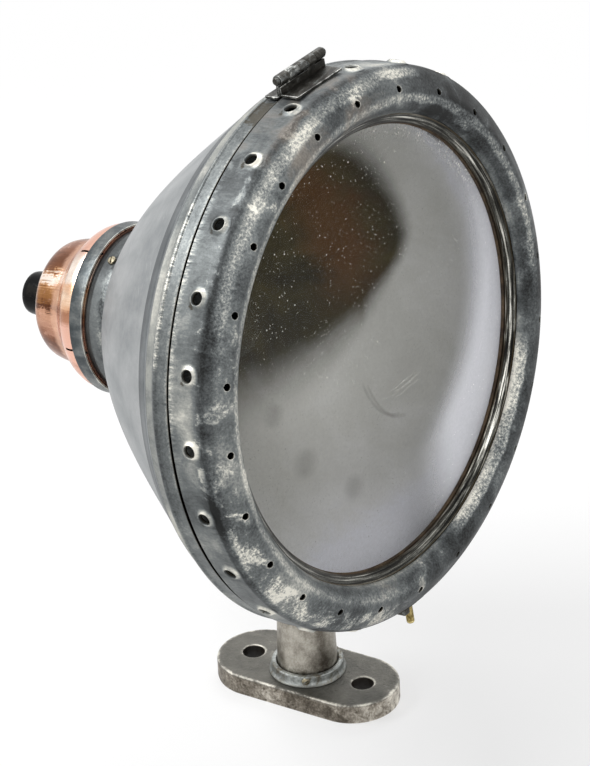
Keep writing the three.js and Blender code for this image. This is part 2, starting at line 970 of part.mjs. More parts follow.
function frontLeaf() {
  const back = hingeAxisY - gap / 2;
  return hingeLeaf(back - frontLeafLength, back, ringRadius + gap, back - leafThickness, back, 1);
}

function rearLeaf() {
  const front = hingeAxisY + gap / 2;
  const plateZ = drumRadius + gap;
  const plateFrom = drumFrontY - gap;
  return cut(
    hingeLeaf(plateFrom, plateFrom + rearLeafLength, plateZ, front, plateFrom + gap, 0),
    block(
      [-hingeHalfLength - overrun, hingeAxisY - knuckleRadius, plateZ - overrun],
      [hingeHalfLength + overrun, plateFrom, ringRadius + gap],
    ),
  );
}

function hingePin() {
  const end = hingeHalfLength + gap;
  return turned(
    [
      [0, -end - hingePinHeadLength],
      [hingePinHeadRadius, -end - hingePinHeadLength],
      [hingePinHeadRadius, -end],
      [hingePinRadius, -end],
      [hingePinRadius, end],
      [hingePinHeadRadius, end],
      [hingePinHeadRadius, end + hingePinHeadLength],
      [0, end + hingePinHeadLength],
    ],
    boltFacets,
    new THREE.Matrix4().makeTranslation(0, hingeAxisY, hingeAxisZ).multiply(alongX),
  );
}

// Latch, built along Y as if pointing out of the ring

// The plate has a thicker lug at one end.
function latchPlate() {
  const low = ringRadius + gap;
  const lug = block(
    [latchPlateLength / 2 - latchLugLength, low, -latchPlateWidth / 2],
    [latchPlateLength / 2, low + latchLugHeight, latchPlateWidth / 2],
  );
  const plate = block(
    [-latchPlateLength / 2, low, -latchPlateWidth / 2],
    [latchPlateLength / 2, low + latchPlateThickness, latchPlateWidth / 2],
  );
  const top = low + latchPlateThickness + overrun;
  const bore = rod(latchScrewRadius + gap, low - overrun, top, boltFacets);
  return cut(join(plate, lug), bore);
}

function latchScrew() {
  const tip = spigotOuterRadius + 2 * gap;
  const end = ringRadius + latchScrewProud;
  const screw = turned(
    [
      [0, tip],
      [latchScrewRadius - latchScrewChamfer, tip],
      [latchScrewRadius, tip + latchScrewChamfer],
      [latchScrewRadius, end - latchScrewChamfer],
      [latchScrewRadius - latchScrewChamfer, end],
      [0, end],
    ],
    boltFacets,
  );
  return cut(screw, slotAt(end, latchScrewRadius));
}

// Copper cap and clamp band

const skirtRadius = capSeatRadius + gap + capWall;
const domeRadius = skirtRadius - capStep;

function capOutline() {
  const fall = skirtRadius - domeRadius;
  const shoulderRun = shoulderBackY - skirtBackY;
  const domeRun = domeBackY - shoulderBackY;
  return [
    [skirtRadius, skirtFrontY],
    [skirtRadius, skirtBackY],
    ...shoulderShares.map(([r, y]) => [skirtRadius - r * fall, skirtBackY + y * shoulderRun]),
    ...domeShares.map(([r, y]) => [domeRadius * r, shoulderBackY + y * domeRun]),
    [nippleRadius + gap, domeBackY],
  ];
}

function rearCap() {
  const shell = turned(sheetProfile(capOutline(), capWall), capFacets);
  const slits = Array.from({ length: slitCount }, (_, i) =>
    block(
      [-slitWidth / 2, skirtFrontY - overrun, skirtRadius - capWall - overrun],
      [slitWidth / 2, slitBackY, skirtRadius + overrun],
      new THREE.Matrix4().makeRotationY(radians(slitFirst - (360 / slitCount) * i)),
    ),
  );
  return cut(shell, ...slits);
}

const bandInnerRadius = skirtRadius + gap;
const bandOuterRadius = bandInnerRadius + bandSheet;
const lugOuterX = bandSplit / 2 + bandSheet;
const bandScrewZ = bandOuterRadius + lugHeight / 2;
const bandMiddleY = bandFrontY + bandWidth / 2;

// The band is built with its split at the top and turned round to its place.
function clampBand() {
  const back = bandFrontY + bandWidth;
  const ring = ringOf(bandInnerRadius, bandOuterRadius, bandFrontY, back, capFacets);
  const lugs = [-1, 1].map((side) =>
    block(
      [Math.min(side * lugOuterX, (side * bandSplit) / 2), bandFrontY, bandInnerRadius + gap],
      [Math.max(side * lugOuterX, (side * bandSplit) / 2), back, bandOuterRadius + lugHeight],
    ),
  );
  const split = block(
    [-bandSplit / 2, bandFrontY - overrun, 0],
    [bandSplit / 2, back + overrun, bandOuterRadius + lugHeight + overrun],
  );
  const beyond = lugOuterX + overrun;
  const bore = rod(bandScrewRadius + gap, -beyond, beyond, boltFacets, alongX);
  return cut(join(ring, ...lugs), split, bore.translate([0, bandMiddleY, bandScrewZ]));
}

function bandScrew() {
  const seat = lugOuterX + gap;
  const head = seat + bandScrewHeadHeight;
  const screw = turned(
    [
      [0, -seat - bandNutHeight - bandScrewTail],
      [bandScrewRadius, -seat - bandNutHeight - bandScrewTail],
      [bandScrewRadius, seat],
      [bandScrewHeadRadius, seat],
      [bandScrewHeadRadius, head],
      [0, head],
    ],
    boltFacets,
  );
  return cut(screw, slotAt(head, bandScrewHeadRadius));
}

function bandNut() {
  const seat = -lugOuterX - gap;
  const end = seat - bandNutHeight;
  const nut = rod(bandNutRadius, end, seat, hexSides);
  return cut(nut, rod(bandScrewRadius + gap, end - overrun, seat + overrun, boltFacets));
}

// Cable entry

function cableNipple() {
  const root = nippleRadius - threadDepth;
  const start = locknutFrontY + locknutThickness;
  const count = Math.floor((bushFrontY - start) / threadPitch) + 1;
  const teeth = [];
  for (let i = 0; i < count; i += 1) {
    const y = start + i * threadPitch;
    teeth.push([root, y], [nippleRadius, y + threadPitch / 2]);
  }
  return turned(
    [
      [nippleBore, nippleFrontY],
      [nippleRadius, nippleFrontY],
      ...teeth,
      [root, start + count * threadPitch],
      [root, nippleBackY],
      [nippleBore, nippleBackY],
    ],
    lampFacets,
  );
}

const locknutFrontY = strapBackY + strapThickness + gap;

function nippleLocknut() {
  const back = locknutFrontY + locknutThickness;
  const nut = rod(locknutRadius, locknutFrontY, back, hexSides);
  return cut(nut, rod(nippleRadius + gap, locknutFrontY - overrun, back + overrun, lampFacets));
}

function cableBush() {
  const counterbore = nippleRadius + gap;
  return turned(
    [
      [counterbore, bushFrontY],
      [bushRadius, bushFrontY],
      [bushRadius, bushBackY - bushRound],
      [bushRadius - bushRound * roundingShare, bushBackY - bushRound * roundingShare],
      [bushRadius - bushRound, bushBackY],
      [bushBore, bushBackY],
      [bushBore, nippleBackY + gap],
      [counterbore, nippleBackY + gap],
    ],
    lampFacets,
  );
}

// Lampholder

const strapHole = (side) => {
  const from = socketBore + 2 * gap;
  const hole = rod(strapScrewRadius + gap, from, socketRadius + strapThickness + overrun, rivetFacets);
  return hole.rotate([0, 0, side < 0 ? 90 : -90]).translate([0, strapScrewY, 0]);
};

function lampSocket() {
  const body = turned(
    [
      [socketBore, socketFrontY],
      [socketRadius, socketFrontY],
      [socketRadius, socketBackY],
      [contactRadius / 2, socketBackY],
      [contactRadius / 2, socketFloorY],
      [socketBore, socketFloorY],
    ],
    lampFacets,
  );
  return cut(body, strapHole(-1), strapHole(1));
}

const shellOuterRadius = socketBore - gap;
const shellBackY = socketFloorY - gap;

function socketShell() {
  const inner = shellOuterRadius - shellWall;
  return ringOf(inner, shellOuterRadius, socketFrontY + gap, shellBackY, lampFacets);
}

const socketContact = () =>
  rod(contactRadius, socketFloorY - gap - contactHeight, socketFloorY - gap, boltFacets);

// A strap bent to a U: its bar is clamped on the nipple and its arms hold the socket's sides.
function socketStrap() {
  const half = strapWidth / 2;
  const armInner = socketRadius + gap;
  const armOuter = armInner + strapThickness;
  const bar = block(
    [-armOuter, strapBackY, -nippleRadius - strapThickness],
    [armOuter, strapBackY + strapThickness, nippleRadius + strapThickness],
  );
  const arms = [-1, 1].map((side) =>
    block(
      [Math.min(side * armInner, side * armOuter), strapFrontY, -half],
      [Math.max(side * armInner, side * armOuter), strapBackY + strapThickness, half],
    ),
  );
  const farSide = strapBackY + strapThickness + overrun;
  const bore = rod(nippleRadius + gap, strapBackY - overrun, farSide, lampFacets);
  return cut(join(bar, ...arms), bore, strapHole(-1), strapHole(1));
}

function strapScrew() {
  const seat = socketRadius + strapThickness + 2 * gap;
  const top = seat + strapScrewHeadHeight;
  const screw = turned(
    [
      [0, seat - strapScrewLength],
      [strapScrewRadius, seat - strapScrewLength],
      [strapScrewRadius, seat],
      [strapScrewHeadRadius, seat],
      [strapScrewHeadRadius, top],
      [0, top],
    ],
    boltFacets,
  );
  return cut(screw, slotAt(top, strapScrewHeadRadius));
}

// Lamp

const lampBaseRadius = shellOuterRadius - shellWall - 2 * gap;
const lampNeckRadius = lampBaseRadius - threadDepth - lampBaseWall - gap;

function lampBase() {
  const root = lampBaseRadius - threadDepth;
  const inner = root - lampBaseWall;
  const threadBack = lampBaseBackY - threadPitch;
  const teeth = [];
  for (let i = 1; i <= lampThreadCount; i += 1) {
    const y = lampBaseFrontY + (i / (lampThreadCount + 1)) * (threadBack - lampBaseFrontY);
    teeth.push([root, y - threadPitch], [lampBaseRadius, y], [root, y + threadPitch]);
  }
  return turned(
    [
      [inner, lampBaseFrontY],
      [root, lampBaseFrontY],
      ...teeth,
      [root, threadBack],
      [contactRadius, lampBaseBackY],
      [0, lampBaseBackY],
      [0, lampBaseBackY - lampBaseWall],
      [contactRadius, lampBaseBackY - lampBaseWall],
      [inner, threadBack - lampBaseWall],
    ],
    lampFacets,
  );
}

const lampNeckBackY = lampBaseFrontY + lampNeckRadius;

function lampGlass() {
  const run = lampShoulderY - lampTipY;
  const bulb = bulbShares.map(([r, y]) => [lampRadius * r, lampTipY + run * y]);
  const neckFrontY = lampShoulderY + lampRadius;
  const outer = [...bulb, [lampNeckRadius, neckFrontY], [lampNeckRadius, lampNeckBackY]];
  const inner = outer
    .map(([r, y]) => [r - lampGlassWall, Math.max(y, lampTipY + 2 * lampGlassWall)])
    .reverse();
  return turned(
    [[0, lampTipY], ...outer, ...inner, [0, lampTipY + 2 * lampGlassWall]],
    lampFacets,
  );
}

function lampStem() {
  const back = lampNeckBackY - overrun;
  const stem = turned(
    [
      [0, stemFrontY],
      [stemRadius / 2, stemFrontY],
      [stemRadius, stemFrontY + stemRadius],
      [stemRadius, back - stemRadius],
      [lampNeckRadius - lampGlassWall - gap, back],
      [0, back],
    ],
    lampFacets,
  );
  const posts = [-1, 1].map((side) =>
    rod(stemPostRadius, filamentY, stemFrontY + stemRadius, hexSides).translate([
      side * stemPostSpread,
      0,
      0,
    ]),
  );
  return join(stem, ...posts);
}

// The filament hangs in a zigzag between its two posts, in front of them.
function lampFilament() {
  const count = 2 * filamentTurns;
  const points = Array.from({ length: count + 1 }, (_, i) => {
    const x = filamentHalfWidth * ((2 * i) / count - 1);
    const z = filamentHalfHeight * (i % 2 ? 1 : -1);
    return new THREE.Vector3(x, filamentY - filamentWire - gap, z);
  });
  const path = new THREE.CatmullRomCurve3(points, false, "catmullrom", filamentTension);
  const section = new THREE.Shape();
  section.absarc(0, 0, filamentWire, 0, 2 * Math.PI, false);
  return solidOf(
    new THREE.ExtrudeGeometry(section, {
      extrudePath: path,
      steps: filamentStepsPerBend * count,
      curveSegments: filamentFacets,
      bevelEnabled: false,
    }),
  );
}

// Assembly

const floodlight = new THREE.Group();

const base = new THREE.Group();
floodlight.add(base);
place(base, "base_flange", basePlate(), castIron());
place(base, "post_collar", postCollar(), steel());
place(base, "base_set_screw", setScrew(), brass()).applyMatrix4(towardsSetScrew);

const pan = new THREE.Group();
pan.rotation.z = radians(restPan);
floodlight.add(pan);
place(pan, "post", post(), nickel());

const head = new THREE.Group();
head.position.z = pivotHeight;
head.rotation.x = radians(restTilt);
pan.add(head);

place(head, "tilt_bolt", tiltBolt(), brightSteel());
place(head, "tilt_wing_nut", wingNut(), brass());
const washerX = tangThickness / 2 + gap + washerThickness / 2;
place(head, "tilt_washer_left", tiltWasher(), brightSteel()).position.x = -washerX;
place(head, "tilt_washer_right", tiltWasher(), brightSteel()).position.x = washerX;

// The lamp house has its own frame: Y along the beam axis, zero at the row of small front holes.
const house = new THREE.Group();
house.position.set(0, -pivotBehindFace, pivotBelowAxis);
head.add(house);

place(house, "tilt_bracket", tiltBracket(rivetHoles()), darkSteel());
rivetPlaces.forEach((matrix, i) => {
  place(house, `bracket_rivet_${i + 1}`, rivet(), brightSteel()).applyMatrix4(matrix);
});
place(house, "housing_shell", housingShell(rivetHoles(), neckHoles()), steel());
place(house, "neck_collar", neckCollar(neckHoles()), darkSteel());
neckScrewAngles.forEach((angle, i) => {
  const screw = place(house, `neck_screw_${i + 1}`, neckScrew(), brass());
  screw.applyMatrix4(radial(angle, neckScrewY));
});
place(house, "reflector", mirrorBowl(), mirror());
for (let i = 0; i < bowlClipCount; i += 1) {
  const clip = place(house, `reflector_clip_${i + 1}`, bowlClip(), brightSteel());
  clip.rotation.y = radians(bowlClipAngle + (360 / bowlClipCount) * i);
}
place(house, "body_hinge_leaf", rearLeaf(), darkSteel());
place(house, "hinge_pin", hingePin(), brightSteel());

const door = new THREE.Group();
house.add(door);
place(door, "bezel_ring", frontRing(), steel());
place(door, "glass_frame_ring", frameRing(), brightSteel());
place(door, "glass_gasket", gasket(), felt());
place(door, "front_glass", glassDisc(), glass());
clipAngles.forEach((angle, i) => {
  place(door, `glass_clip_${i + 1}`, glassClip(), brightSteel()).rotation.y = radians(angle);
});
place(door, "door_hinge_leaf", frontLeaf(), darkSteel());
place(door, "latch_plate", latchPlate(), darkSteel()).applyMatrix4(radial(180, sideHoleY));
place(door, "latch_screw", latchScrew(), brass()).applyMatrix4(radial(180, sideHoleY));

const cap = new THREE.Group();
house.add(cap);
place(cap, "rear_cap", rearCap(), copper());
place(cap, "clamp_band", clampBand(), darkSteel()).rotation.y = radians(bandSplitAngle);
const bandScrewPlace = new THREE.Matrix4()
  .makeRotationY(radians(bandSplitAngle))
  .multiply(new THREE.Matrix4().makeTranslation(0, bandMiddleY, bandScrewZ))
  .multiply(alongX);
place(cap, "band_screw", bandScrew(), brightSteel()).applyMatrix4(bandScrewPlace);
place(cap, "band_nut", bandNut(), brightSteel()).applyMatrix4(bandScrewPlace);
place(cap, "cable_nipple", cableNipple(), brass());
place(cap, "nipple_locknut", nippleLocknut(), brass());
place(cap, "cable_bush", cableBush(), rubber());
place(cap, "lamp_socket", lampSocket(), porcelain());
place(cap, "socket_shell", socketShell(), brass());
place(cap, "socket_contact", socketContact(), brass());
place(cap, "socket_strap", socketStrap(), brightSteel());
[-1, 1].forEach((side, i) => {
  const screw = place(cap, `strap_screw_${i + 1}`, strapScrew(), brass());
  screw.position.y = strapScrewY;
  screw.rotation.z = radians(-90 * side);
});

const lamp = new THREE.Group();
cap.add(lamp);
place(lamp, "lamp_globe", lampGlass(), glass());
place(lamp, "lamp_base", lampBase(), brass());
place(lamp, "lamp_stem", lampStem(), glass());
place(lamp, "lamp_filament", lampFilament(), metal(0x8d8d90, 0.4));

export default floodlight;
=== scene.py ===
import math

import bmesh
import bpy
import numpy as np
from mathutils import Matrix, Vector
from mathutils.geometry import tessellate_polygon


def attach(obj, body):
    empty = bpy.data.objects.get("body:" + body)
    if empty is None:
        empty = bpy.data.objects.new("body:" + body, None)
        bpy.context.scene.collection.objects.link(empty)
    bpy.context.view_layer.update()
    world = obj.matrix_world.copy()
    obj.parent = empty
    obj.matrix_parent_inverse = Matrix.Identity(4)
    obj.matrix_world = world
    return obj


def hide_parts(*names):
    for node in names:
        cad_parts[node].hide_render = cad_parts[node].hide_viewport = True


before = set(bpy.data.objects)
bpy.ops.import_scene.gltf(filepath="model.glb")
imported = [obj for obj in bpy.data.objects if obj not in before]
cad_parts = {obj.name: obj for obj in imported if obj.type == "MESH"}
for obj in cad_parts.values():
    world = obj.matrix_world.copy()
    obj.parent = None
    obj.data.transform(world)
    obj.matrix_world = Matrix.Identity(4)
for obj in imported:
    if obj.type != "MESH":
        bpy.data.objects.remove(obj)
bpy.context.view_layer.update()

MM = 0.001
FULL = 2 * math.pi

# How the head stands on the post
PAN = math.radians(-4.57)
TILT = math.radians(-7.95)
PIVOT_HEIGHT = 110.4
PIVOT_BEHIND_FACE = 114.2
PIVOT_BELOW_AXIS = 187.4


def shifted(x, y, z):
    return Matrix.Translation((x, y, z))


def spun(degrees, axis):
    return Matrix.Rotation(math.radians(degrees), 4, axis)


PANNED = Matrix.Rotation(PAN, 4, "Z")
HEAD = PANNED @ shifted(0, 0, PIVOT_HEIGHT) @ Matrix.Rotation(TILT, 4, "X")
HOUSE = HEAD @ shifted(0, -PIVOT_BEHIND_FACE, PIVOT_BELOW_AXIS)
UPRIGHT = spun(90, "X")
SIDEWAYS = spun(-90, "Z")


# Forms


class Form:
    """The surface of one piece, gathered patch by patch, with a share of wear and painted sheen,
    and of stain and painted shade, at each point.
    """

    def __init__(self):
        self.points = []
        self.faces = []
        self.marks = []
        self.count = 0

    def add(self, points, faces, wear=0.0, stain=0.0):
        points = np.asarray(points, float).reshape(-1, 3)
        marks = np.zeros((len(points), 2))
        marks[:, 0] = np.asarray(wear, float).reshape(-1) if np.ndim(wear) else wear
        marks[:, 1] = np.asarray(stain, float).reshape(-1) if np.ndim(stain) else stain
        self.points.append(points)
        self.marks.append(marks)
        self.faces += [[i + self.count for i in face] for face in faces]
        self.count += len(points)

    def grid(self, rows, wear=0.0, stain=0.0, closed=False, gaps=()):
        """A surface through rows of points; closed joins each row's end to its start, and gaps
        lists the (row, place in the row) of faces that are left out."""
        rows = np.asarray(rows, float)
        high, wide = rows.shape[:2]
        faces = []
        for r in range(high - 1):
            for c in range(wide if closed else wide - 1):
                if (r, c) not in gaps:
                    near, far = r * wide, (r + 1) * wide
                    after = (c + 1) % wide
                    faces.append((near + c, near + after, far + after, far + c))
        self.add(rows, faces, wear, stain)

    def fan(self, ring, flip=False):
        """A flat face over a closed ring of points."""
        order = list(range(len(ring)))
        self.add(ring, [order[::-1] if flip else order])

    def take(self, other, matrix=None):
        """Adds a copy of another form, moved by a matrix."""
        points = np.vstack(other.points)
        if matrix is not None:
            turn = np.array(matrix)
            points = points @ turn[:3, :3].T + turn[:3, 3]
        marks = np.vstack(other.marks)
        self.add(points, other.faces, marks[:, 0], marks[:, 1])


def moved(form, matrix):
    made = Form()
    made.take(form, matrix)
    return made


WELD = 1e-5


def piece(name, form, finish, body, replaces=(), place=HOUSE, crease=38):
    """Makes a form into a piece with its finish, in its place, riding on its body."""
    turn = np.array(place)
    points = np.vstack(form.points) @ turn[:3, :3].T + turn[:3, 3]
    mesh = bpy.data.meshes.new(name)
    mesh.from_pydata((points * MM).tolist(), [], form.faces)
    marks = np.vstack(form.marks)
    # The first mark holds rubbed wear and painted highlights, the second stains and painted shade,
    # black on hidden faces.
    for column, label in enumerate(("wear", "stain")):
        layer = mesh.attributes.new(label, "FLOAT", "POINT")
        layer.data.foreach_set("value", marks[:, column].astype(np.float32))
    net = bmesh.new()
    net.from_mesh(mesh)
    bmesh.ops.remove_doubles(net, verts=net.verts, dist=WELD)
    bmesh.ops.recalc_face_normals(net, faces=net.faces)
    net.to_mesh(mesh)
    net.free()
    mesh.shade_smooth()
    mesh.set_sharp_from_angle(angle=math.radians(crease))
    mesh.materials.append(finish)
    made = bpy.data.objects.new(name, mesh)
    bpy.context.scene.collection.objects.link(made)
    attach(made, body)
    if replaces:
        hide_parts(*replaces)


# Lines: lists of (radius, distance along the axis)

CORNER_SHARE = 0.49  # the most of a side that a rounded corner takes
SHARPEST = 0.3  # keeps a sharp corner's wall from reaching far out


def shut(line):
    """The line with its first point once more at its end."""
    return np.vstack([line, line[:1]])


def rectangle(x0, y0, x1, y1):
    return [(x0, y0), (x1, y0), (x1, y1), (x0, y1)]


def flowing(points, steps):
    """A smooth line through the points."""
    points = np.asarray(points, float)
    ends = np.vstack([2 * points[0] - points[1], points, 2 * points[-1] - points[-2]])
    made = []
    for i in range(len(points) - 1):
        a, b, c, d = ends[i : i + 4]
        for t in np.arange(steps) / steps:
            made.append(
                b + 0.5 * t * (c - a + t * (2 * a - 5 * b + 4 * c - d + t * (3 * (b - c) + d - a)))
            )
    return np.vstack([made, points[-1]])


def rounded(points, radius, steps=4, closed=False):
    """The line with its corners rounded."""
    points = np.asarray(points, float)
    made = [] if closed else [points[0]]
    last = len(points) if closed else len(points) - 1
    for i in range(0 if closed else 1, last):
        corner = points[i]
        before, after = points[i - 1] - corner, points[(i + 1) % len(points)] - corner
        long_before, long_after = np.linalg.norm(before), np.linalg.norm(after)
        reach = min(radius, CORNER_SHARE * long_before, CORNER_SHARE * long_after)
        start = corner + before / long_before * reach
        end = corner + after / long_after * reach
        for t in np.linspace(0, 1, steps + 1):
            made.append((1 - t) ** 2 * start + 2 * t * (1 - t) * corner + t**2 * end)
    if not closed:
        made.append(points[-1])
    return np.array(made)


def beside(line, wall):
    """The line moved by the wall to the left of its run, which is inwards where it runs back."""
    line = np.asarray(line, float)
    run = np.diff(line, axis=0)
    run /= np.linalg.norm(run, axis=1)[:, None]
    into = np.vstack([run[:1], run])
    out = np.vstack([run, run[-1:]])
    side = into + out
    side /= np.linalg.norm(side, axis=1)[:, None]
    spread = np.sqrt(np.clip((1 + (into * out).sum(1)) / 2, SHARPEST, 1))
    return line + np.stack([-side[:, 1], side[:, 0]], 1) * (wall / spread)[:, None]


def sheet_line(line, wall):
    """The closed outline of sheet metal whose outer face follows the line."""
    return shut(np.vstack([line, beside(line, wall)[::-1]]))


def ring_points(radius, y, angles):
    return np.stack([radius * np.sin(angles), np.full_like(angles, y), radius * np.cos(angles)], -1)


def at_distance(outline, y):
    """An outline in the XZ plane, moved along Y."""
    return np.stack([outline[:, 0], np.full(len(outline), y), outline[:, 1]], 1)


def lathe(form, line, count=160, start=0.0, wear=0.0, stain=0.0):
    """A full turn of a line about Y. The two marks, wear with painted sheen and stain with painted
    shade, are numbers, lists with one for each point of the line, or functions of the distance
    along the axis and the angles."""
    angles = start + np.arange(count) / count * FULL
    rows = [ring_points(r, y, angles) for r, y in line]
    spread = []
    for mark in (wear, stain):
        if callable(mark):
            mark = np.concatenate([mark(y, angles) for _, y in line])
        spread.append(np.repeat(mark, count) if np.shape(mark) == (len(line),) else mark)
    form.grid(rows, spread[0], spread[1], closed=True)


def turned_form(line, count=48, wear=0.0):
    form = Form()
    lathe(form, line, count, wear=wear)
    return form


FLAT_INSET = 1.3  # where a slab's flat face starts, in widths of its edge
SIDE_WEAR = 0.2


def slab(outline, low, high, edge):
    """A plate from an outline in the XZ plane, thick along Y, with rounded edges."""
    outline = np.asarray(outline, float)
    following = np.roll(outline, -1, axis=0)
    if np.sum(outline[:, 0] * following[:, 1] - following[:, 0] * outline[:, 1]) < 0:
        outline = outline[::-1]
    closed = np.vstack([outline[-1:], outline, outline[:1]])
    form = Form()
    rows = []
    marks = []
    turn = np.linspace(0, math.pi / 2, 4)
    levels = [(edge * FLAT_INSET, low, 0.0)]
    levels += [(edge * (1 - math.sin(t)), low + edge * (1 - math.cos(t)), 1.0) for t in turn]
    levels += [(edge * (1 - math.cos(t)), high - edge * (1 - math.sin(t)), 1.0) for t in turn]
    levels += [(edge * FLAT_INSET, high, 0.0)]
    for inset, y, wear in levels:
        rows.append(at_distance(beside(closed, inset)[1:-1], y))
        marks.append(np.full(len(outline), wear if inset > 0 else SIDE_WEAR))
    form.grid(rows, np.concatenate(marks), closed=True)
    form.fan(rows[0], flip=True)
    form.fan(rows[-1])
    return form


def box_form(low, high, edge=0.5):
    """A block with rounded edges."""
    (x0, y0, z0), (x1, y1, z1) = low, high
    return slab(rounded(rectangle(x0, z0, x1, z1), 2 * edge, 3, closed=True), y0, y1, edge)


# Shading


class Wire:
    """A socket that Python's arithmetic works on: each operation adds its Math node."""

    def __init__(self, nodes, socket):
        self.nodes = nodes
        self.socket = socket

    def math(self, operation, *others):
        return self.nodes.node("ShaderNodeMath", {"operation": operation}, [self, *others])

    def __add__(self, other):
        return self.math("ADD", other)

    def __sub__(self, other):
        return self.math("SUBTRACT", other)

    def __mul__(self, other):
        return self.math("MULTIPLY", other)

    def __truediv__(self, other):
        return self.math("DIVIDE", other)

    def __pow__(self, other):
        return self.math("POWER", other)

    __radd__ = __add__
    __rmul__ = __mul__

    def __rsub__(self, other):
        return self.nodes.node("ShaderNodeMath", {"operation": "SUBTRACT"}, [other, self])

    def other(self, name):
        """Another output of the same node."""
        return Wire(self.nodes, self.socket.node.outputs[name])


def length(x, y):
    """The straight distance over two sides at a right angle."""
    return (x * x + y * y).math("SQRT")


class Nodes:
    """The nodes of a material or of the world."""

    def __init__(self, owner):
        owner.use_nodes = True
        self.owner = owner
        self.tree = owner.node_tree
        self.tree.nodes.clear()

    def node(self, kind, settings=None, inputs=(), output=0):
        made = self.tree.nodes.new(kind)
        for name, value in (settings or {}).items():
            if name == "stops":
                self.set_stops(made.color_ramp, value)
            else:
                setattr(made, name, value)
        for name, value in inputs.items() if isinstance(inputs, dict) else enumerate(inputs):
            if isinstance(value, Wire):
                self.tree.links.new(value.socket, made.inputs[name])
            else:
                made.inputs[name].default_value = value
        return Wire(self, made.outputs[output]) if made.outputs else made

    @staticmethod
    def set_stops(ramp, stops):
        while len(ramp.elements) < len(stops):
            ramp.elements.new(0.5)
        for element, (place, color) in zip(ramp.elements, stops):
            element.position = place
            element.color = shade(color)

    def place(self):
        return self.node("ShaderNodeTexCoord", output="Object")

    def house_place(self):
        """The place in the lamp house's own frame."""
        inputs = [self.place(), HOUSE.translation * MM, HOUSE.to_euler()]
        return self.node("ShaderNodeMapping", {"vector_type": "TEXTURE"}, inputs)

    def mark(self, name):
        return self.node("ShaderNodeAttribute", {"attribute_name": name}, output="Fac")

    def parts(self, vector):
        x = self.node("ShaderNodeSeparateXYZ", None, [vector])
        return x, x.other("Y"), x.other("Z")

    def vector(self, x, y, z):
        return self.node("ShaderNodeCombineXYZ", None, [x, y, z])

    def polar(self, at):
        """Radius from the Y axis, distance along it, and the angle round it from the top."""
        x, y, z = self.parts(at)
        return length(x, z), y, x.math("ARCTAN2", z)

    def sheet_place(self, at, around, across):
        """A place on a spun sheet, stretched by one factor round the axis and one across it."""
        x, y, z = self.parts(at)
        radius = length(x, z)
        return self.vector(x / radius * around, (y - radius) * across, z / radius * around)

    def noise(self, at, scale, detail=4, roughness=0.55, distortion=0.0):
        """Cloudy values about zero."""
        settings = {"Vector": at, "Scale": scale, "Detail": detail, "Roughness": roughness}
        made = self.node("ShaderNodeTexNoise", None, {**settings, "Distortion": distortion})
        return made - 0.5

    def cells(self, at, scale):
        """Distance to the nearest of scattered points."""
        return self.node("ShaderNodeTexVoronoi", None, {"Vector": at, "Scale": scale}, "Distance")

    def step(self, value, low, high):
        """0 below low, 1 above high, smooth between them; high may be the lower one."""
        settings = {"interpolation_type": "SMOOTHSTEP"}
        if low > high:
            return 1 - self.step(value, high, low)
        return self.node("ShaderNodeMapRange", settings, [value, low, high, 0.0, 1.0])

    def band(self, value, low, high, soft):
        """1 between low and high, with soft ends."""
        return self.step(value, low - soft, low + soft) * self.step(value, high + soft, high - soft)

    def mix(self, share, low, high):
        """From one colour to the other; each is a wire or screen values."""
        settings = {"data_type": "RGBA", "clamp_factor": True}
        low, high = (color if isinstance(color, Wire) else shade(color) for color in (low, high))
        return self.node("ShaderNodeMix", settings, {0: share, 6: low, 7: high}, 2)

    def ramp(self, value, *stops):
        """A colour that goes through stops of (value, screen values)."""
        return self.node("ShaderNodeValToRGB", {"stops": stops}, [value])

    def scaled(self, at, x, y, z):
        settings = {"operation": "MULTIPLY"}
        return self.node("ShaderNodeVectorMath", settings, [at, (x, y, z)])


def shade(screen):
    """The linear colour for red, green and blue as they show on a screen, 0 to 255."""
    return (*((c / 255) ** 2.2 for c in screen), 1.0)


def finished(nodes, color, roughness, metallic=0.0, height=None, depth=0.0001, fixed=None):
    """Closes a material. height bumps the surface by depth metres; fixed sets other sockets."""
    inputs = {"Base Color": color, "Roughness": roughness, "Metallic": metallic, **(fixed or {})}
    if height is not None:
        bump = {"Height": height, "Distance": depth, "Strength": 1.0}
        inputs["Normal"] = nodes.node("ShaderNodeBump", None, bump)
    surface = nodes.node("ShaderNodeBsdfPrincipled", None, inputs)
    nodes.node("ShaderNodeOutputMaterial", None, {"Surface": surface})
    return nodes.owner


def new_finish(name):
    return Nodes(bpy.data.materials.new(name))


STEEL_STOPS = [
    (0.0, (38, 39, 39)),
    (0.25, (76, 79, 80)),
    (0.5, (114, 118, 118)),
    (0.72, (160, 161, 156)),
    (1.0, (228, 225, 214)),
]
OLD_PAINT = (50, 47, 40)
RUST_BROWN = (104, 88, 74)
# Black for painted shade on hidden faces and in gaps.
SHADE_BLACK = (8, 8, 8)


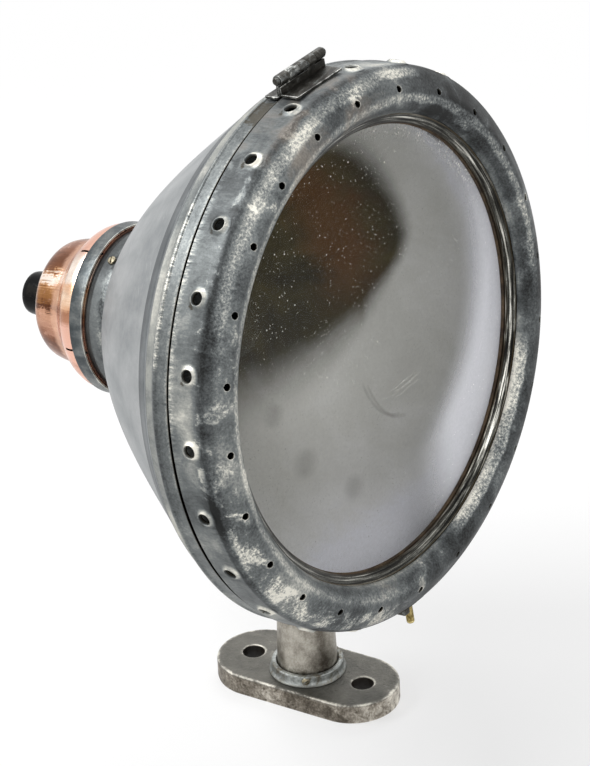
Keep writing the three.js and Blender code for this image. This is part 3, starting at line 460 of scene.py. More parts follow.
def worn_steel(name, zones, level, cloudy, rough):
    """Spun steel without its paint: dark scale, rubbed bright in strokes across the sheet.
    zones gives a level to add, the share of strokes and the share of brown stain. The wear mark,
    with its painted highlights, lightens the tone, and the highest stain marks paint hidden faces
    black, as painted shade."""
    n = new_finish(name)
    at = n.house_place()
    radius, along, angle = n.polar(at)
    cloud = n.noise(at, 13, 3, 0.5, 0.4)
    patch = n.noise(at, 46, 5, 0.6, 0.7)
    strokes = n.noise(n.sheet_place(at, 115, 130), 1, 5, 0.66, 0.8)
    fleck = n.noise(at, 560, 4, 0.7)
    added, stroked, browned = zones(n, radius, along, angle, patch, strokes, fleck)
    wear = n.mark("wear")
    tone = level + cloud * cloudy + patch * (0.6 * cloudy) + strokes * stroked
    tone += fleck * (0.22 + stroked * 0.3) + added + wear * (0.5 + patch * 0.8)
    color = n.ramp(tone, *STEEL_STOPS)
    brown = n.step(patch + cloud * 0.7 + browned, 0.28, 0.62)
    color = n.mix(brown * (0.5 - wear * 0.4), color, RUST_BROWN)
    stain = n.mark("stain")
    painted = n.step(stain + patch * 1.3 + strokes * 0.9 + fleck * 0.5, 0.4, 0.62)
    paint = n.mix(cloud * 1.6 + fleck + 0.5, OLD_PAINT, (74, 69, 57))
    color = n.mix(painted * 0.9, color, paint)
    # Painted shade: the highest marks turn hidden faces and gaps black.
    darkened = n.step(stain, 1.4, 1.8)
    color = n.mix(darkened, color, SHADE_BLACK)
    gloss = rough - tone * 0.06 + fleck * 0.2 + painted * 0.25 + darkened * 0.4
    relief = strokes * 0.35 + fleck * 0.35 + patch * 0.5 - painted * 0.3
    return finished(n, color, gloss, 0.72 - painted * 0.4 + darkened * 0.68, relief, 0.00022)


# Painted highlights along the ring's inner slope and lip, partly rubbed metal: radius from, to and
# softness, angle from, to and softness, how bright and how grainy
RING_SHEEN_LANES = [
    (0.1750, 0.1812, 0.0016, -2.15, 0.22, 0.25, 0.26, 0.7),
    (0.1772, 0.1835, 0.0014, 0.2, 1.7, 0.25, 0.32, 1.1),
    (0.1762, 0.1815, 0.0026, -3.1, -2.2, 0.15, 0.2, 0.5),
    (0.1722, 0.1772, 0.0012, 0.74, 0.83, 0.03, 0.42, 1.0),
    (0.0, 0.17475, 0.00095, 1.97, 2.86, 0.07, 0.42, 1.3),
]


def ring_zones(n, radius, along, angle, patch, strokes, fleck):
    """Cream lanes over the top, partly painted highlight; painted shade on the shoulder on the
    left, with pale smears below it; painted shade over the right side; and painted highlights along
    the inner slope and lip, partly rubbed."""
    wavy = radius + patch * 0.007
    crown = n.step(along, 0.0145, 0.0118)
    upper = n.band(angle + patch * 0.3, -1.12, 0.2, 0.08)
    side = n.band(angle + patch * 0.4, -1.85, -1.12, 0.12)
    lower = n.band(angle, -3.0, -1.58, 0.12)
    right = n.band(angle, 0.24, 3.0, 0.2)
    edge = n.band(along, 0.0100, 0.0150, 0.0012)
    # Partly painted highlight: the cream lanes over the top of the crown.
    top = n.band(wavy, 0.1915, 0.1992, 0.0026) * crown * upper
    rubbed = patch + fleck * 0.22 + strokes * 0.1
    smears = n.band(wavy, 0.1880, 0.2010, 0.0024) * crown * lower * n.step(rubbed, -0.06, 0.1)
    spots = crown * (1 - lower - right * 0.6) * n.step(rubbed, 0.08, 0.2)
    outer = n.band(angle, 0.22, 0.46, 0.04) * n.band(wavy, 0.1950, 0.2008, 0.0014) * crown
    cold = n.band(angle + patch * 0.4, -0.7, -0.46, 0.06) * (1 - crown)
    flecked = n.band(along, 0.0130, 0.0190, 0.0016) * n.band(angle, -1.75, -0.55, 0.2)
    flecked *= n.step(rubbed, 0.03, 0.12)
    rear = n.step(along, 0.0325, 0.0385) * n.band(angle, -1.45, -0.55, 0.15)
    # Painted shade on the shoulder on the left.
    shoulder_shade = n.step(wavy, 0.1935, 0.1990) * n.step(along, 0.0215, 0.0150) * side
    added = top * (0.3 + fleck * 0.9) + smears * (0.36 + fleck * 1.1) + outer * (0.42 + fleck)
    added += spots * 0.28 + flecked * 0.34 + rear * 0.16 - cold * 0.24 - shoulder_shade * 0.22
    # Painted shade: darker along the shoulder (edge) and over the crown on the right side.
    added = added - edge * (0.1 + lower * 0.14) - right * crown * 0.19 + fleck * crown * 0.5
    added += (1 - crown) * (1 - lower) * 0.1 + crown * lower * 0.06
    # Painted highlights along the inner slope and lip.
    for low, high, soft, start, end, fade, bright, grainy in RING_SHEEN_LANES:
        lane = n.band(wavy, low, high, soft) * n.band(angle, start, end, fade)
        added += lane * (bright + fleck * grainy)
    browned = n.band(angle, -0.5, 0.24, 0.15) * (0.42 - top * 0.3)
    browned += n.band(angle, -3.2, -2.7, 0.15) * 0.3
    return added, 0.12 + rear * 1.4 + (1 - crown) * 0.22, browned


def drum_zones(n, radius, along, angle, patch, strokes, fleck):
    """Granular slate drum, its rear rib rubbed to cream on the upper left, and a light lane."""
    turned = angle + strokes * 0.12
    left = n.step(angle, -1.8, -1.6)
    drum = n.step(along, 0.0535, 0.0520)
    rib = n.step(along + strokes * 0.006, 0.0506, 0.0526) * n.step(along, 0.0598, 0.0586)
    rim = n.step(along + strokes * 0.008, 0.0452, 0.0440)
    cream = n.band(turned, -1.22, -0.62, 0.04)
    dark = n.band(turned, -1.68, -1.22, 0.04)
    lane = n.band(along, 0.0598, 0.0672, 0.0009)
    added = drum * (left * 0.06 + fleck * 0.3 - 0.08) + rim * left * 0.1 + lane * 0.24
    added += rib * (cream * (0.2 + strokes * 1.2 + fleck * 0.8) - dark * 0.14 + 0.04)
    return added, 0.14 + (rim * 0.7 + rib * 0.45) * left, 0.0


def neck_zones(n, radius, along, angle, patch, strokes, fleck):
    lane = n.band(along, 0.2125, 0.2175, 0.0022)
    return lane * (0.1 + patch * 1.6 + fleck * 0.9) - 0.14, 0.3, 0.12


def cone_steel(name):
    """The cone's smooth satin sheet, with soft lanes and a few long scratches."""
    n = new_finish(name)
    at = n.house_place()
    _, along, angle = n.polar(at)
    lanes = n.noise(n.sheet_place(at, 5, 8), 1, 3, 0.5, 0.4)
    cloud = n.noise(at, 18, 5, 0.6, 0.5)
    fine = n.noise(at, 160, 4, 0.7, 0.6)
    fleck = n.noise(at, 1000, 3, 0.7)
    spun = n.noise(n.sheet_place(at, 3, 800), 1, 3, 0.6)
    x, y, z = n.parts(at)
    slanted = n.vector(x * 20 + y * 60, y * 900 - x * 500, z * 40)
    scratch = n.step(n.noise(slanted, 1, 2, 0.5, 0.2), 0.21, 0.27)
    neck = n.step(along, 0.196, 0.207)
    shadow = n.step(along, 0.0836, 0.0828) * n.step(along, 0.0662, 0.0685)
    shadow *= 0.5 + n.step(along, 0.068, 0.083) * 0.5
    left = n.step(angle, -1.2, -2.0)
    tone = 0.48 + lanes * 0.6 + cloud * 0.4 + fine * 0.3 + fleck * 0.25 + spun * 0.15
    tone += scratch * 0.22 - neck * 0.3 - shadow * 0.5 - left * 0.1
    color = n.ramp(
        tone, (0.0, (74, 79, 82)), (0.35, (130, 134, 136)), (0.6, (164, 166, 167)),
        (1.0, (206, 207, 204)),
    )
    rough = 0.42 + fleck * 0.2 - scratch * 0.08 + fine * 0.1
    return finished(n, color, rough, 0.85, fleck * 0.3 + spun * 0.4 - scratch * 0.3, 0.00012)


def cast_iron(name):
    n = new_finish(name)
    at = n.place()
    _, y, height = n.parts(at)
    cloud = n.noise(at, 24, 5, 0.6, 0.5)
    lump = n.noise(at, 95, 5, 0.65, 0.8)
    sand = n.noise(at, 520, 4, 0.7)
    pits = n.step(n.cells(at, 190), 0.3, 0.1)
    top = n.step(height, 0.0138, 0.0158)
    wear = n.mark("wear")
    inside = n.mark("stain")
    # Painted light: the sides at the near end of the plate are lighter.
    front = n.step(y, -0.04, -0.075)
    tone = 0.47 + cloud + lump * (1.2 - top * 0.8) + sand * (0.9 - top * 0.5) + wear * 0.4
    tone += wear * lump * 1.2 + (front * 0.3 - pits * 0.2) * (1 - top)
    side = n.ramp(
        tone, (0.0, (44, 39, 33)), (0.35, (96, 89, 79)), (0.6, (142, 135, 124)),
        (1.0, (228, 222, 210)),
    )
    face = n.ramp(
        tone, (0.0, (50, 48, 44)), (0.4, (86, 85, 80)), (0.65, (108, 106, 100)),
        (1.0, (224, 220, 208)),
    )
    color = n.mix(top, side, face)
    # The hole walls below the top are made very dark brown.
    wall_dark = n.mix(cloud + 0.5, (22, 19, 15), (40, 34, 27))
    color = n.mix(n.step(inside, 0.3, 1.0), color, wall_dark)
    rough = 0.5 + sand * 0.3 - wear * 0.15
    relief = sand * 0.5 + lump * 1.6 + cloud * 1.2 - pits * 0.4
    return finished(n, color, rough, 0.7 * (1 - inside), relief, 0.0005)


def nickel_post(name):
    n = new_finish(name)
    at = n.place()
    x, y, z = n.parts(at)
    cloud = n.noise(at, 38, 4, 0.55, 0.3)
    mottle = n.noise(n.scaled(at, 1.2, 1.2, 0.9), 130, 5, 0.7, 0.25)
    fleck = n.noise(at, 700, 3, 0.75)
    turn = n.noise(n.scaled(at, 30, 30, 900), 1, 3, 0.6)
    rub = n.noise(n.scaled(at, 40, 40, 8), 1, 4, 0.6, 0.3)
    foot = n.step(z, 0.035, 0.024)
    # Painted shade: a darker lane down one side of the post, across a fixed direction.
    shade_lane = n.band((x * 0.539 - y * 0.842) / 0.021 + cloud * 0.8, 0.34, 0.66, 0.12)
    tone = 0.58 + cloud * 0.8 + mottle * 0.7 + fleck * 0.5 + rub * 0.4 - shade_lane * 0.22
    tone = tone - foot * (0.08 - mottle)
    color = n.ramp(
        tone, (0.0, (52, 45, 38)), (0.3, (108, 102, 93)), (0.55, (154, 149, 139)),
        (1.0, (214, 209, 198)),
    )
    rough = 0.38 + fleck * 0.3 - mottle * 0.15
    return finished(n, color, rough, 0.88, fleck * 0.4 + turn * 0.3 + mottle * 0.8, 0.0003)


def grey_collar(name):
    n = new_finish(name)
    at = n.place()
    _, _, height = n.parts(at)
    cloud = n.noise(at, 60, 5, 0.62, 0.6)
    lump = n.noise(at, 190, 4, 0.65, 0.5)
    fleck = n.noise(at, 700, 3, 0.7)
    tone = 0.46 + cloud * 1.1 + lump * 1.1 + fleck * 0.5
    color = n.ramp(
        tone, (0.0, (62, 54, 42)), (0.3, (112, 108, 98)), (0.5, (144, 148, 146)),
        (1.0, (208, 210, 206)),
    )
    foot = n.step(height, 0.0185, 0.0165)
    color = n.mix(foot * n.step(lump + cloud, -0.1, 0.1) * 0.7, color, (70, 62, 50))
    return finished(n, color, 0.45 + fleck * 0.3, 0.7, lump * 1.2 + fleck * 0.4, 0.0004)


def polished_copper(name):
    """Spun copper with painted reflections laid out by the angle round the axis: painted highlights
    in white and gold, and brown lanes of painted dark reflection along the dome, broken up by
    tarnish.
    """
    n = new_finish(name)
    at = n.house_place()
    _, along, angle = n.polar(at)
    cloud = n.noise(at, 34, 4, 0.6, 0.5)
    run = n.noise(n.sheet_place(at, 4, 14), 1, 4, 0.6, 0.4)
    spun = n.noise(n.sheet_place(at, 3, 1300), 1, 3, 0.6)
    fleck = n.noise(at, 1000, 3, 0.7)
    streak = n.noise(n.sheet_place(at, 60, 22), 1, 5, 0.7, 0.5)
    mottle = n.noise(at, 110, 5, 0.65, 0.6)
    turned = angle.math("ABSOLUTE") / math.pi + run * 0.06 + cloud * 0.05 + streak * 0.04
    pink, light, gold = (234, 184, 164), (255, 240, 226), (216, 162, 116)
    brown, deep = (146, 100, 78), (92, 58, 42)
    mottled_angle = turned + mottle * 0.16 + streak * 0.12
    # Painted reflections on the dome: highlights in light and gold, dark reflections in brown and
    # deep.
    dome = n.ramp(
        mottled_angle, (0.0, (150, 104, 84)), (0.07, brown), (0.12, (116, 78, 60)), (0.19, (128, 86, 64)),
        (0.205, gold), (0.22, light), (0.265, light), (0.285, gold), (0.31, (166, 118, 76)),
        (0.37, (140, 94, 58)), (0.385, deep), (0.405, deep), (0.42, (200, 150, 122)),
        (0.475, (212, 164, 138)), (0.53, brown), (0.6, (104, 70, 56)), (0.72, brown), (0.86, gold),
        (1.0, pink),
    )
    # Painted reflections on the skirt, with a bright painted highlight in light.
    skirt = n.ramp(
        turned + mottle * 0.05, (0.0, pink), (0.13, pink), (0.18, light), (0.265, light),
        (0.285, (236, 186, 148)), (0.335, (250, 220, 192)), (0.368, (228, 178, 142)),
        (0.385, (172, 122, 96)), (0.42, (188, 136, 110)), (0.44, pink), (0.7, pink),
        (0.85, (196, 140, 118)), (1.0, pink),
    )
    on_dome = n.step(along + run * 0.006, 0.2640, 0.2685)
    color = n.mix(on_dome, skirt, dome)
    foot = n.step(along + mottle * 0.012, 0.2745, 0.2700) * on_dome
    color = n.mix(foot * 0.6, color, (238, 192, 166))
    color = n.mix(n.step(mottle + cloud, 0.08, 0.2) * on_dome * 0.5, color, (222, 172, 148))
    color = n.mix(n.step(streak - cloud, 0.1, 0.2) * on_dome * 0.5, color, deep)
    tone = cloud * 1.2 + run * 0.8
    color = n.mix(n.step(tone, 0.02, 0.3) * 0.4, color, brown)
    neck = n.band(along, 0.2605, 0.2655, 0.0012) * n.step(fleck + run, -0.1, 0.1)
    color = n.mix(neck * 0.55, color, (128, 76, 54))
    edge = n.step(along, 0.2312, 0.2298)
    color = n.mix(edge * 0.6, color, (110, 66, 48))
    rough = 0.2 + fleck * 0.15 + n.step(tone, 0.0, 0.3) * 0.12
    relief = spun * 0.4 + cloud * 1.6 + streak * 0.3 + fleck * 0.15
    return finished(n, color, rough, 1.0, relief, 0.00012)


def aged_brass(name, level=0.5, grey=0.0):
    n = new_finish(name)
    at = n.place()
    cloud = n.noise(at, 170, 5, 0.6, 0.5)
    fleck = n.noise(at, 900, 3, 0.7)
    tone = level + cloud * 1.7 + fleck * 0.5 + n.mark("wear") * 0.25
    color = n.ramp(
        tone, (0.0, (50, 42, 24)), (0.35, (116, 100, 60)), (0.65, (182, 164, 108)),
        (1.0, (238, 226, 180)),
    )
    if grey:
        color = n.mix(grey, color, n.mix(tone, (60, 54, 46), (208, 204, 194)))
    return finished(n, color, 0.34 + fleck * 0.3, 1.0, fleck + cloud, 0.00015)


def bright_metal(name, dark=(104, 106, 106), light=(196, 197, 194), metallic=0.95):
    n = new_finish(name)
    at = n.place()
    cloud = n.noise(at, 130, 5, 0.6, 0.5)
    brush = n.noise(n.scaled(at, 1400, 1400, 200), 1, 3, 0.6)
    tone = 0.5 + cloud * 1.4 + brush * 0.4 + n.mark("wear") * 0.3
    color = n.mix(tone, dark, light)
    return finished(n, color, 0.32 + brush * 0.3, metallic, brush + cloud, 0.0001)


def frame_metal(name):
    """The conical frame ring: dark glossy grooves with pale lanes, brown beside the glass."""
    n = new_finish(name)
    at = n.house_place()
    radius, _, angle = n.polar(at)
    groove = n.noise(n.sheet_place(at, 3, 700), 1, 3, 0.6)
    lane = n.noise(n.sheet_place(at, 6, 420), 1, 4, 0.6, 0.3)
    fleck = n.noise(at, 900, 3, 0.7)
    low = n.band(angle, 1.7, 2.7, 0.3)
    tone = 0.3 + groove * 1.6 + lane * (1.5 + low * 2.0) + fleck * 0.3
    tone += n.band(radius, 0.1640, 0.1662, 0.0008) * 0.2
    color = n.ramp(
        tone, (0.0, (12, 12, 11)), (0.3, (46, 45, 41)), (0.55, (98, 98, 93)),
        (0.8, (184, 182, 174)), (1.0, (238, 236, 228)),
    )
    brown = n.step(radius, 0.1628, 0.1616)
    color = n.mix(brown * 0.4, color, (62, 52, 38))
    gold = n.step(radius, 0.1674, 0.1684)
    color = n.mix(gold * 0.3, color, (104, 90, 64))
    return finished(n, color, 0.3 + fleck * 0.2, 0.85, groove, 0.0002)


def hinge_steel(name, level=0.26):
    n = new_finish(name)
    at = n.place()
    cloud = n.noise(at, 110, 5, 0.6, 0.7)
    scrape = n.noise(n.scaled(at, 90, 500, 500), 1, 4, 0.6, 0.4)
    fleck = n.noise(at, 800, 3, 0.7)
    wear = n.mark("wear")
    tone = level + cloud * 1.7 + scrape * 0.9 + fleck * 0.5 + wear * (0.4 + cloud * 1.0)
    color = n.ramp(
        tone, (0.0, (24, 22, 19)), (0.35, (60, 58, 53)), (0.6, (104, 107, 106)),
        (1.0, (222, 221, 214)),
    )
    return finished(n, color, 0.42 + fleck * 0.25, 0.7, fleck + cloud * 2, 0.0002)


def dark_band(name):
    """The clamp band: slate steel, with its front edge rubbed to bare metal."""
    n = new_finish(name)
    at = n.house_place()
    _, _, angle = n.polar(at)
    cloud = n.noise(at, 60, 5, 0.6, 0.6)
    strokes = n.noise(n.sheet_place(at, 24, 60), 1, 5, 0.7, 0.4)
    fleck = n.noise(at, 800, 3, 0.7)
    # Painted shade: slightly darker where the lamp's glint falls.
    glint = n.band(angle, -0.85, -0.45, 0.2)
    tone = 0.33 + cloud * 0.9 + strokes * 0.35 + fleck * 0.35 - glint * 0.08
    tone += n.mark("wear") * (0.6 + cloud * 1.2)
    color = n.ramp(
        tone, (0.0, (44, 47, 49)), (0.35, (76, 81, 83)), (0.6, (116, 119, 118)),
        (1.0, (226, 224, 214)),
    )
    return finished(n, color, 0.36 + fleck * 0.25, 0.85, fleck + strokes, 0.00015)


def glossy_black(name):
    n = new_finish(name)
    at = n.house_place()
    _, along, angle = n.polar(at)
    cloud = n.noise(at, 140, 4, 0.6)
    dust = n.step(n.noise(at, 900, 3, 0.7), 0.14, 0.24)
    color = n.mix(n.step(cloud, -0.12, 0.12), (4, 4, 5), (14, 14, 14))
    color = n.mix(dust * 0.3, color, (116, 108, 94))
    gleam = n.band(angle + cloud * 0.8, -1.15, -0.75, 0.12) * n.band(along, 0.3085, 0.3225, 0.002)
    color = n.mix(gleam * 0.25, color, (60, 58, 54))
    # Painted reflection: thin gold glints on the lower half, made as two brass rings.
    low = n.step(angle.math("ABSOLUTE"), 1.35, 1.75)
    rings = n.band(along, 0.3078, 0.3086, 0.0003) + n.band(along, 0.3104, 0.3111, 0.0003)
    color = n.mix(rings * low, color, (176, 156, 96))
    rough = 0.2 + dust * 0.3 + cloud * 0.12
    return finished(n, color, rough, rings * low * 0.9, cloud, 0.0002, {"Specular IOR Level": 0.12})


def brown_gasket(name):
    n = new_finish(name)
    at = n.house_place()
    fibre = n.noise(at, 700, 5, 0.7)
    cloud = n.noise(at, 60, 4, 0.6)
    color = n.mix(n.step(cloud, -0.15, 0.15), (54, 42, 32), (96, 80, 62))
    color = n.mix(n.step(fibre, 0.05, 0.2) * 0.4, color, (140, 124, 100))
    return finished(n, color, 0.85, 0.0, fibre, 0.0003)


def mirror_bowl(name):
    """Polished metal under old haze, with a brown painted dark reflection on one side, and painted
    light that makes it paler at the rim, at the front right and towards the bottom.
    """
    n = new_finish(name)
    at = n.house_place()
    x, y, z = n.parts(at)
    haze = n.noise(at, 7, 3, 0.5, 0.3)
    wisp = n.noise(at, 24, 5, 0.6, 0.8)
    motes = n.noise(at, 300, 4, 0.7)
    radius = length(x, z)
    # Painted reflection: a dark brown patch on one side of the bowl, bounded by curves.
    share = ((x - 0.019) / 0.12).math("MAXIMUM", 0.0)
    above = z * 0.8 + 0.0515 + wisp * 0.016 + share * 0.016 - share ** 2.2 * 0.0594
    low = (1 - above / 0.022).math("MAXIMUM", 0.0)
    outer = (1 - (0.1425 - radius - wisp * 0.005) / 0.022).math("MAXIMUM", 0.0)
    depth = (1 - length(low, outer)) / (1 - share * 0.74)
    dark_reflection = n.step(depth, -1.26, 0.74) * n.step(x - z * 0.45 + haze * 0.03, -0.02, 0.03)
    # Painted light: paler near the rim, at the front right and towards the bottom.
    rim = n.step(y, 0.075, 0.033)
    tone = 0.49 + haze * 0.6 + wisp * 0.45 + motes * 0.12 + rim * 0.2
    tone += n.step(y, 0.058, 0.036) * n.step(x, 0.04, 0.12) * 0.55
    tone += n.step(z, -0.122, -0.165) * 0.4
    grey = n.ramp(
        tone, (0.0, (176, 175, 170)), (0.45, (200, 200, 195)), (0.8, (226, 226, 225)),
        (1.0, (238, 239, 246)),
    )
    # A browner tint inside the painted reflection.
    reflection_tint = n.band(radius + wisp * 0.03, 0.100, 0.127, 0.012)
    reflection_tint *= n.band(z + wisp * 0.04, -0.02, 0.14, 0.03)
    reflection_tone = 0.42 + haze * 1.4 + wisp * 1.6
    brown = n.ramp(reflection_tone, (0.0, (30, 27, 10)), (0.5, (56, 50, 22)), (1.0, (80, 70, 38)))
    brown = n.mix(reflection_tint * 0.8, brown, (92, 60, 25))
    color = n.mix(dark_reflection, grey, brown)
    rough = 0.5 + dark_reflection * 0.1 + motes * 0.08
    return finished(n, color, rough, 0.35 - dark_reflection * 0.1, wisp, 0.0001)


# Greasy spots on the glass: across, up and reach
BLOTS = [(-0.095, -0.0445, 0.014), (-0.047, -0.0867, 0.013), (-0.118, 0.004, 0.012)]


def dusty_glass(name, haze=0.02):
    """Clear glass that shows by its gloss, its edge and the dust on it, with a painted reflection
    as a pale film towards its rim on one side.
    """
    n = new_finish(name)
    at = n.house_place()
    x, y, z = n.parts(at)
    radius = length(x, z)
    thick = n.noise(at, 22, 3, 0.6, 0.4)
    motes = n.step(n.cells(at, 320), 0.1, 0.04) * n.step(thick, 0.0, 0.1)
    over_reflection = n.step(length(x + 0.04, z - 0.09), 0.12, 0.08)
    few = n.step(n.noise(at, 40, 3, 0.6), 0.0, 0.08)
    often = few * 0.5 + over_reflection * n.step(n.noise(at, 70, 3, 0.6), -0.1, 0.06)
    small, big = n.step(n.cells(at, 300), 0.165, 0.06), n.step(n.cells(at, 110), 0.085, 0.03)
    specks = (small * 0.8 + big) * often
    film = n.step(n.noise(at, 16, 5, 0.65, 0.8), -0.1, 0.25)
    slanted = n.vector(x * 25 + z * 10, y * 40, z * 500 - x * 420)
    scratch = n.step(n.noise(slanted, 1, 2, 0.5, 0.3), 0.24, 0.28) * n.step(thick, -0.04, 0.08)
    facing = n.node("ShaderNodeLayerWeight", None, {"Blend": 0.25}, "Facing")
    rim = n.step(radius, 0.146, 0.157) * n.step(z, 0.03, 0.09) * n.step(x, 0.0, 0.05)
    grit = n.step(n.cells(at, 420), 0.42, 0.2) * n.step(n.noise(at, 60, 4, 0.6), -0.08, 0.06)
    marked = (motes + specks + grit * rim * 0.8).math("MINIMUM", 1.0)
    # Painted reflection: a pale film towards the rim on one side of the glass.
    sheen_film = n.step(radius - z * 0.35, 0.100, 0.150) * n.step(x, 0.0, 0.08)
    front = n.step(y, 0.032, 0.026)
    upper = n.band(z + thick * 0.008, -0.0381, -0.0371, 0.0005)
    lower = n.band(z + thick * 0.010, -0.0421, -0.0413, 0.0005)
    wiped = (upper + lower) * n.band(x, 0.008, 0.041, 0.006) * front
    curl = n.band(length(x - 0.030, z + 0.010) + thick * 0.006, 0.0500, 0.0524, 0.0011)
    smudge = curl * n.step(x, 0.022, 0.010) * n.step(z, -0.014, -0.024)
    for right, up, reach in BLOTS:
        away = length(x - right, z - up) + thick * 0.008
        smudge += n.step(away, reach, reach * 0.4) * 0.6
    smudge = (smudge * front).math("MINIMUM", 1.0)
    fine = n.noise(at, 420, 3, 0.7)
    color = n.mix(sheen_film, (92, 92, 88), (246, 247, 253))
    color = n.mix((marked + wiped).math("MINIMUM", 1.0), color, (236, 232, 220))
    color = n.mix(smudge, color, (62, 56, 49))
    alpha = haze + film * haze + marked * 0.8 + scratch * 0.2 + facing ** 3 * 0.35 + sheen_film * 0.52
    alpha += wiped * 0.2 + smudge * 0.26 + (fine * 0.18 + wiped * fine) * front
    return finished(
        n, color, 0.05 + film * 0.05 + marked * 0.6, 0.0, film, 0.00003,
        {"Alpha": alpha.math("MINIMUM", 1.0).math("MAXIMUM", 0.0), "IOR": 1.5},
    )


def glazed_porcelain(name):
    n = new_finish(name)
    at = n.place()
    cloud = n.noise(at, 80, 4, 0.6)
    # Soot darkens the porcelain in patches.
    darkened = n.step(n.noise(at, 200, 5, 0.7), 0.1, 0.25)
    color = n.mix(n.step(cloud, -0.15, 0.15), (222, 216, 202), (238, 234, 224))
    color = n.mix(darkened * 0.4, color, (140, 122, 98))
    return finished(n, color, 0.2 + darkened * 0.3, 0.0, cloud, 0.0001, {"Coat Weight": 0.4})


def tungsten(name):
    n = new_finish(name)
    wire = n.noise(n.place(), 1800, 3, 0.6)
    color = n.mix(n.step(wire, -0.1, 0.1), (96, 96, 100), (150, 150, 152))
    return finished(n, color, 0.4 + wire * 0.1, 1.0, wire, 0.00003)


RING_STEEL = worn_steel("ring_steel", ring_zones, 0.38, 1.2, 0.56)
DRUM_STEEL = worn_steel("drum_steel", drum_zones, 0.42, 0.9, 0.5)
CONE_STEEL = cone_steel("cone_steel")
NECK_STEEL = worn_steel("neck_steel", neck_zones, 0.42, 0.7, 0.5)
IRON = cast_iron("cast_iron")
POST_NICKEL = nickel_post("post_nickel")
COLLAR_GREY = grey_collar("collar_grey")
COPPER = polished_copper("polished_copper")
BRASS = aged_brass("aged_brass")
DARK_BRASS = aged_brass("dark_brass", 0.3, 0.6)
BRIGHT = bright_metal("bright_metal")
CLIP_ZINC = bright_metal("clip_zinc", (186, 187, 188), (220, 220, 222), 0.1)
FRAME_METAL = frame_metal("frame_metal")
HINGE_STEEL = hinge_steel("hinge_steel")
BRACKET_STEEL = hinge_steel("bracket_steel", 0.42)
BAND_STEEL = dark_band("band_steel")
BLACK = glossy_black("glossy_black")
GASKET = brown_gasket("brown_gasket")
MIRROR = mirror_bowl("mirror_bowl")
GLASS = dusty_glass("dusty_glass")
BULB_GLASS = dusty_glass("bulb_glass", 0.08)
PORCELAIN = glazed_porcelain("glazed_porcelain")
TUNGSTEN = tungsten("tungsten")


# Foot

PLATE_HALF_SPACING = 39.0
PLATE_END = 34.5
PLATE_TOP = 16.0
PLATE_EDGE = 1.4
BOLT_HOLE = 8.25
BOLT_REACH = 47.2
SOCKET_HOLE = 20.0
RIM = 1.6  # width of the worn rims on the flat faces


def stadium(inset):
    """The foot's outline, moved inwards."""
    sweep = np.linspace(0, math.pi, 48)
    end = PLATE_END - inset
    far = np.stack([end * np.cos(sweep), PLATE_HALF_SPACING + end * np.sin(sweep)], 1)
    near = np.stack([-end * np.cos(sweep), -PLATE_HALF_SPACING - end * np.sin(sweep)], 1)
    sides = np.linspace(0, 1, 24)[1:-1, None]
    left = far[-1] * (1 - sides) + near[0] * sides
    right = near[-1] * (1 - sides) + far[0] * sides
    return np.vstack([far, left, near, right])


def circle(radius, count):
    angles = np.arange(count) / count * FULL
    return radius * np.stack([np.cos(angles), np.sin(angles)], 1)


def circle_at(y, radius):
    return circle(radius, 40) + (0, y)


def at_height(outline, z):
    return np.column_stack([outline, np.full(len(outline), z)])


def foot_plate():
    """The plate's edge and holes, each from (distance to its line, height, wear)."""
    form = Form()
    sides = [(1.1, 0.0, 0.2), (0.3, 0.5, 0.2), (0.0, 1.6, 0.0), (0.0, 7.0, 0.0)]
    sides += [(0.0, PLATE_TOP - PLATE_EDGE, 0.0), (0.15, PLATE_TOP - 0.8, 0.7)]
    sides += [(0.55, PLATE_TOP - 0.25, 1.0), (PLATE_EDGE, PLATE_TOP, 0.6)]
    rows = [at_height(stadium(inset), z) for inset, z, _ in sides]
    form.grid(rows, np.repeat([w for _, _, w in sides], len(rows[0])), closed=True)
    holes = [(-BOLT_REACH, BOLT_HOLE), (BOLT_REACH, BOLT_HOLE), (0, SOCKET_HOLE)]
    for z, inset, flare, worn in ((PLATE_TOP, PLATE_EDGE, 0.7, 0.6), (0.0, 1.1, 0.5, 0.0)):
        rims = [(stadium(inset), stadium(inset + RIM))]
        for y, radius in holes:
            rims.append((circle_at(y, radius + flare), circle_at(y, radius + flare + RIM)))
        loops = [at_height(inner, z) for _, inner in rims]
        for outer, inner in rims:
            rows = [at_height(outer, z), at_height(inner, z)]
            form.grid(rows, np.repeat([worn, 0.0], len(outer)), closed=True)
        triangles = tessellate_polygon([[Vector(p) for p in loop] for loop in loops])
        form.add(np.vstack(loops), [list(t) for t in triangles])
    for y, radius in holes:
        levels = [(0.7, PLATE_TOP, 0.6), (0.2, PLATE_TOP - 0.3, 1.0), (0.0, PLATE_TOP - 0.9, 0.4)]
        levels += [(0.0, 0.9, 0.0), (0.5, 0.0, 0.0)]
        rows = [at_height(circle_at(y, radius + flare), z) for flare, z, _ in levels]
        around = len(rows[0])
        worn = np.repeat([wear for _, _, wear in levels], around)
        # Walls below the top are marked to be darkened.
        dark_walls = np.repeat([1.0 * (z < PLATE_TOP - 0.5) for _, z, _ in levels], around)
        form.grid(rows, worn, dark_walls, closed=True)
    return form


piece("foot_plate", foot_plate(), IRON, "base", ["base_flange"], Matrix(), crease=30)

COLLAR_TOP = PLATE_TOP + 8.6
collar_line = rounded(
    [(23.0, PLATE_TOP + 0.1), (29.6, PLATE_TOP + 0.1), (26.9, PLATE_TOP + 2.6), (26.8, COLLAR_TOP),
     (23.8, COLLAR_TOP), (23.0, COLLAR_TOP - 0.4)],
    2.4, 6, closed=True,
)
piece(
    "post_collar_ring", turned_form(shut(collar_line), 96), COLLAR_GREY, "base",
    ["post_collar"], UPRIGHT, crease=60,
)


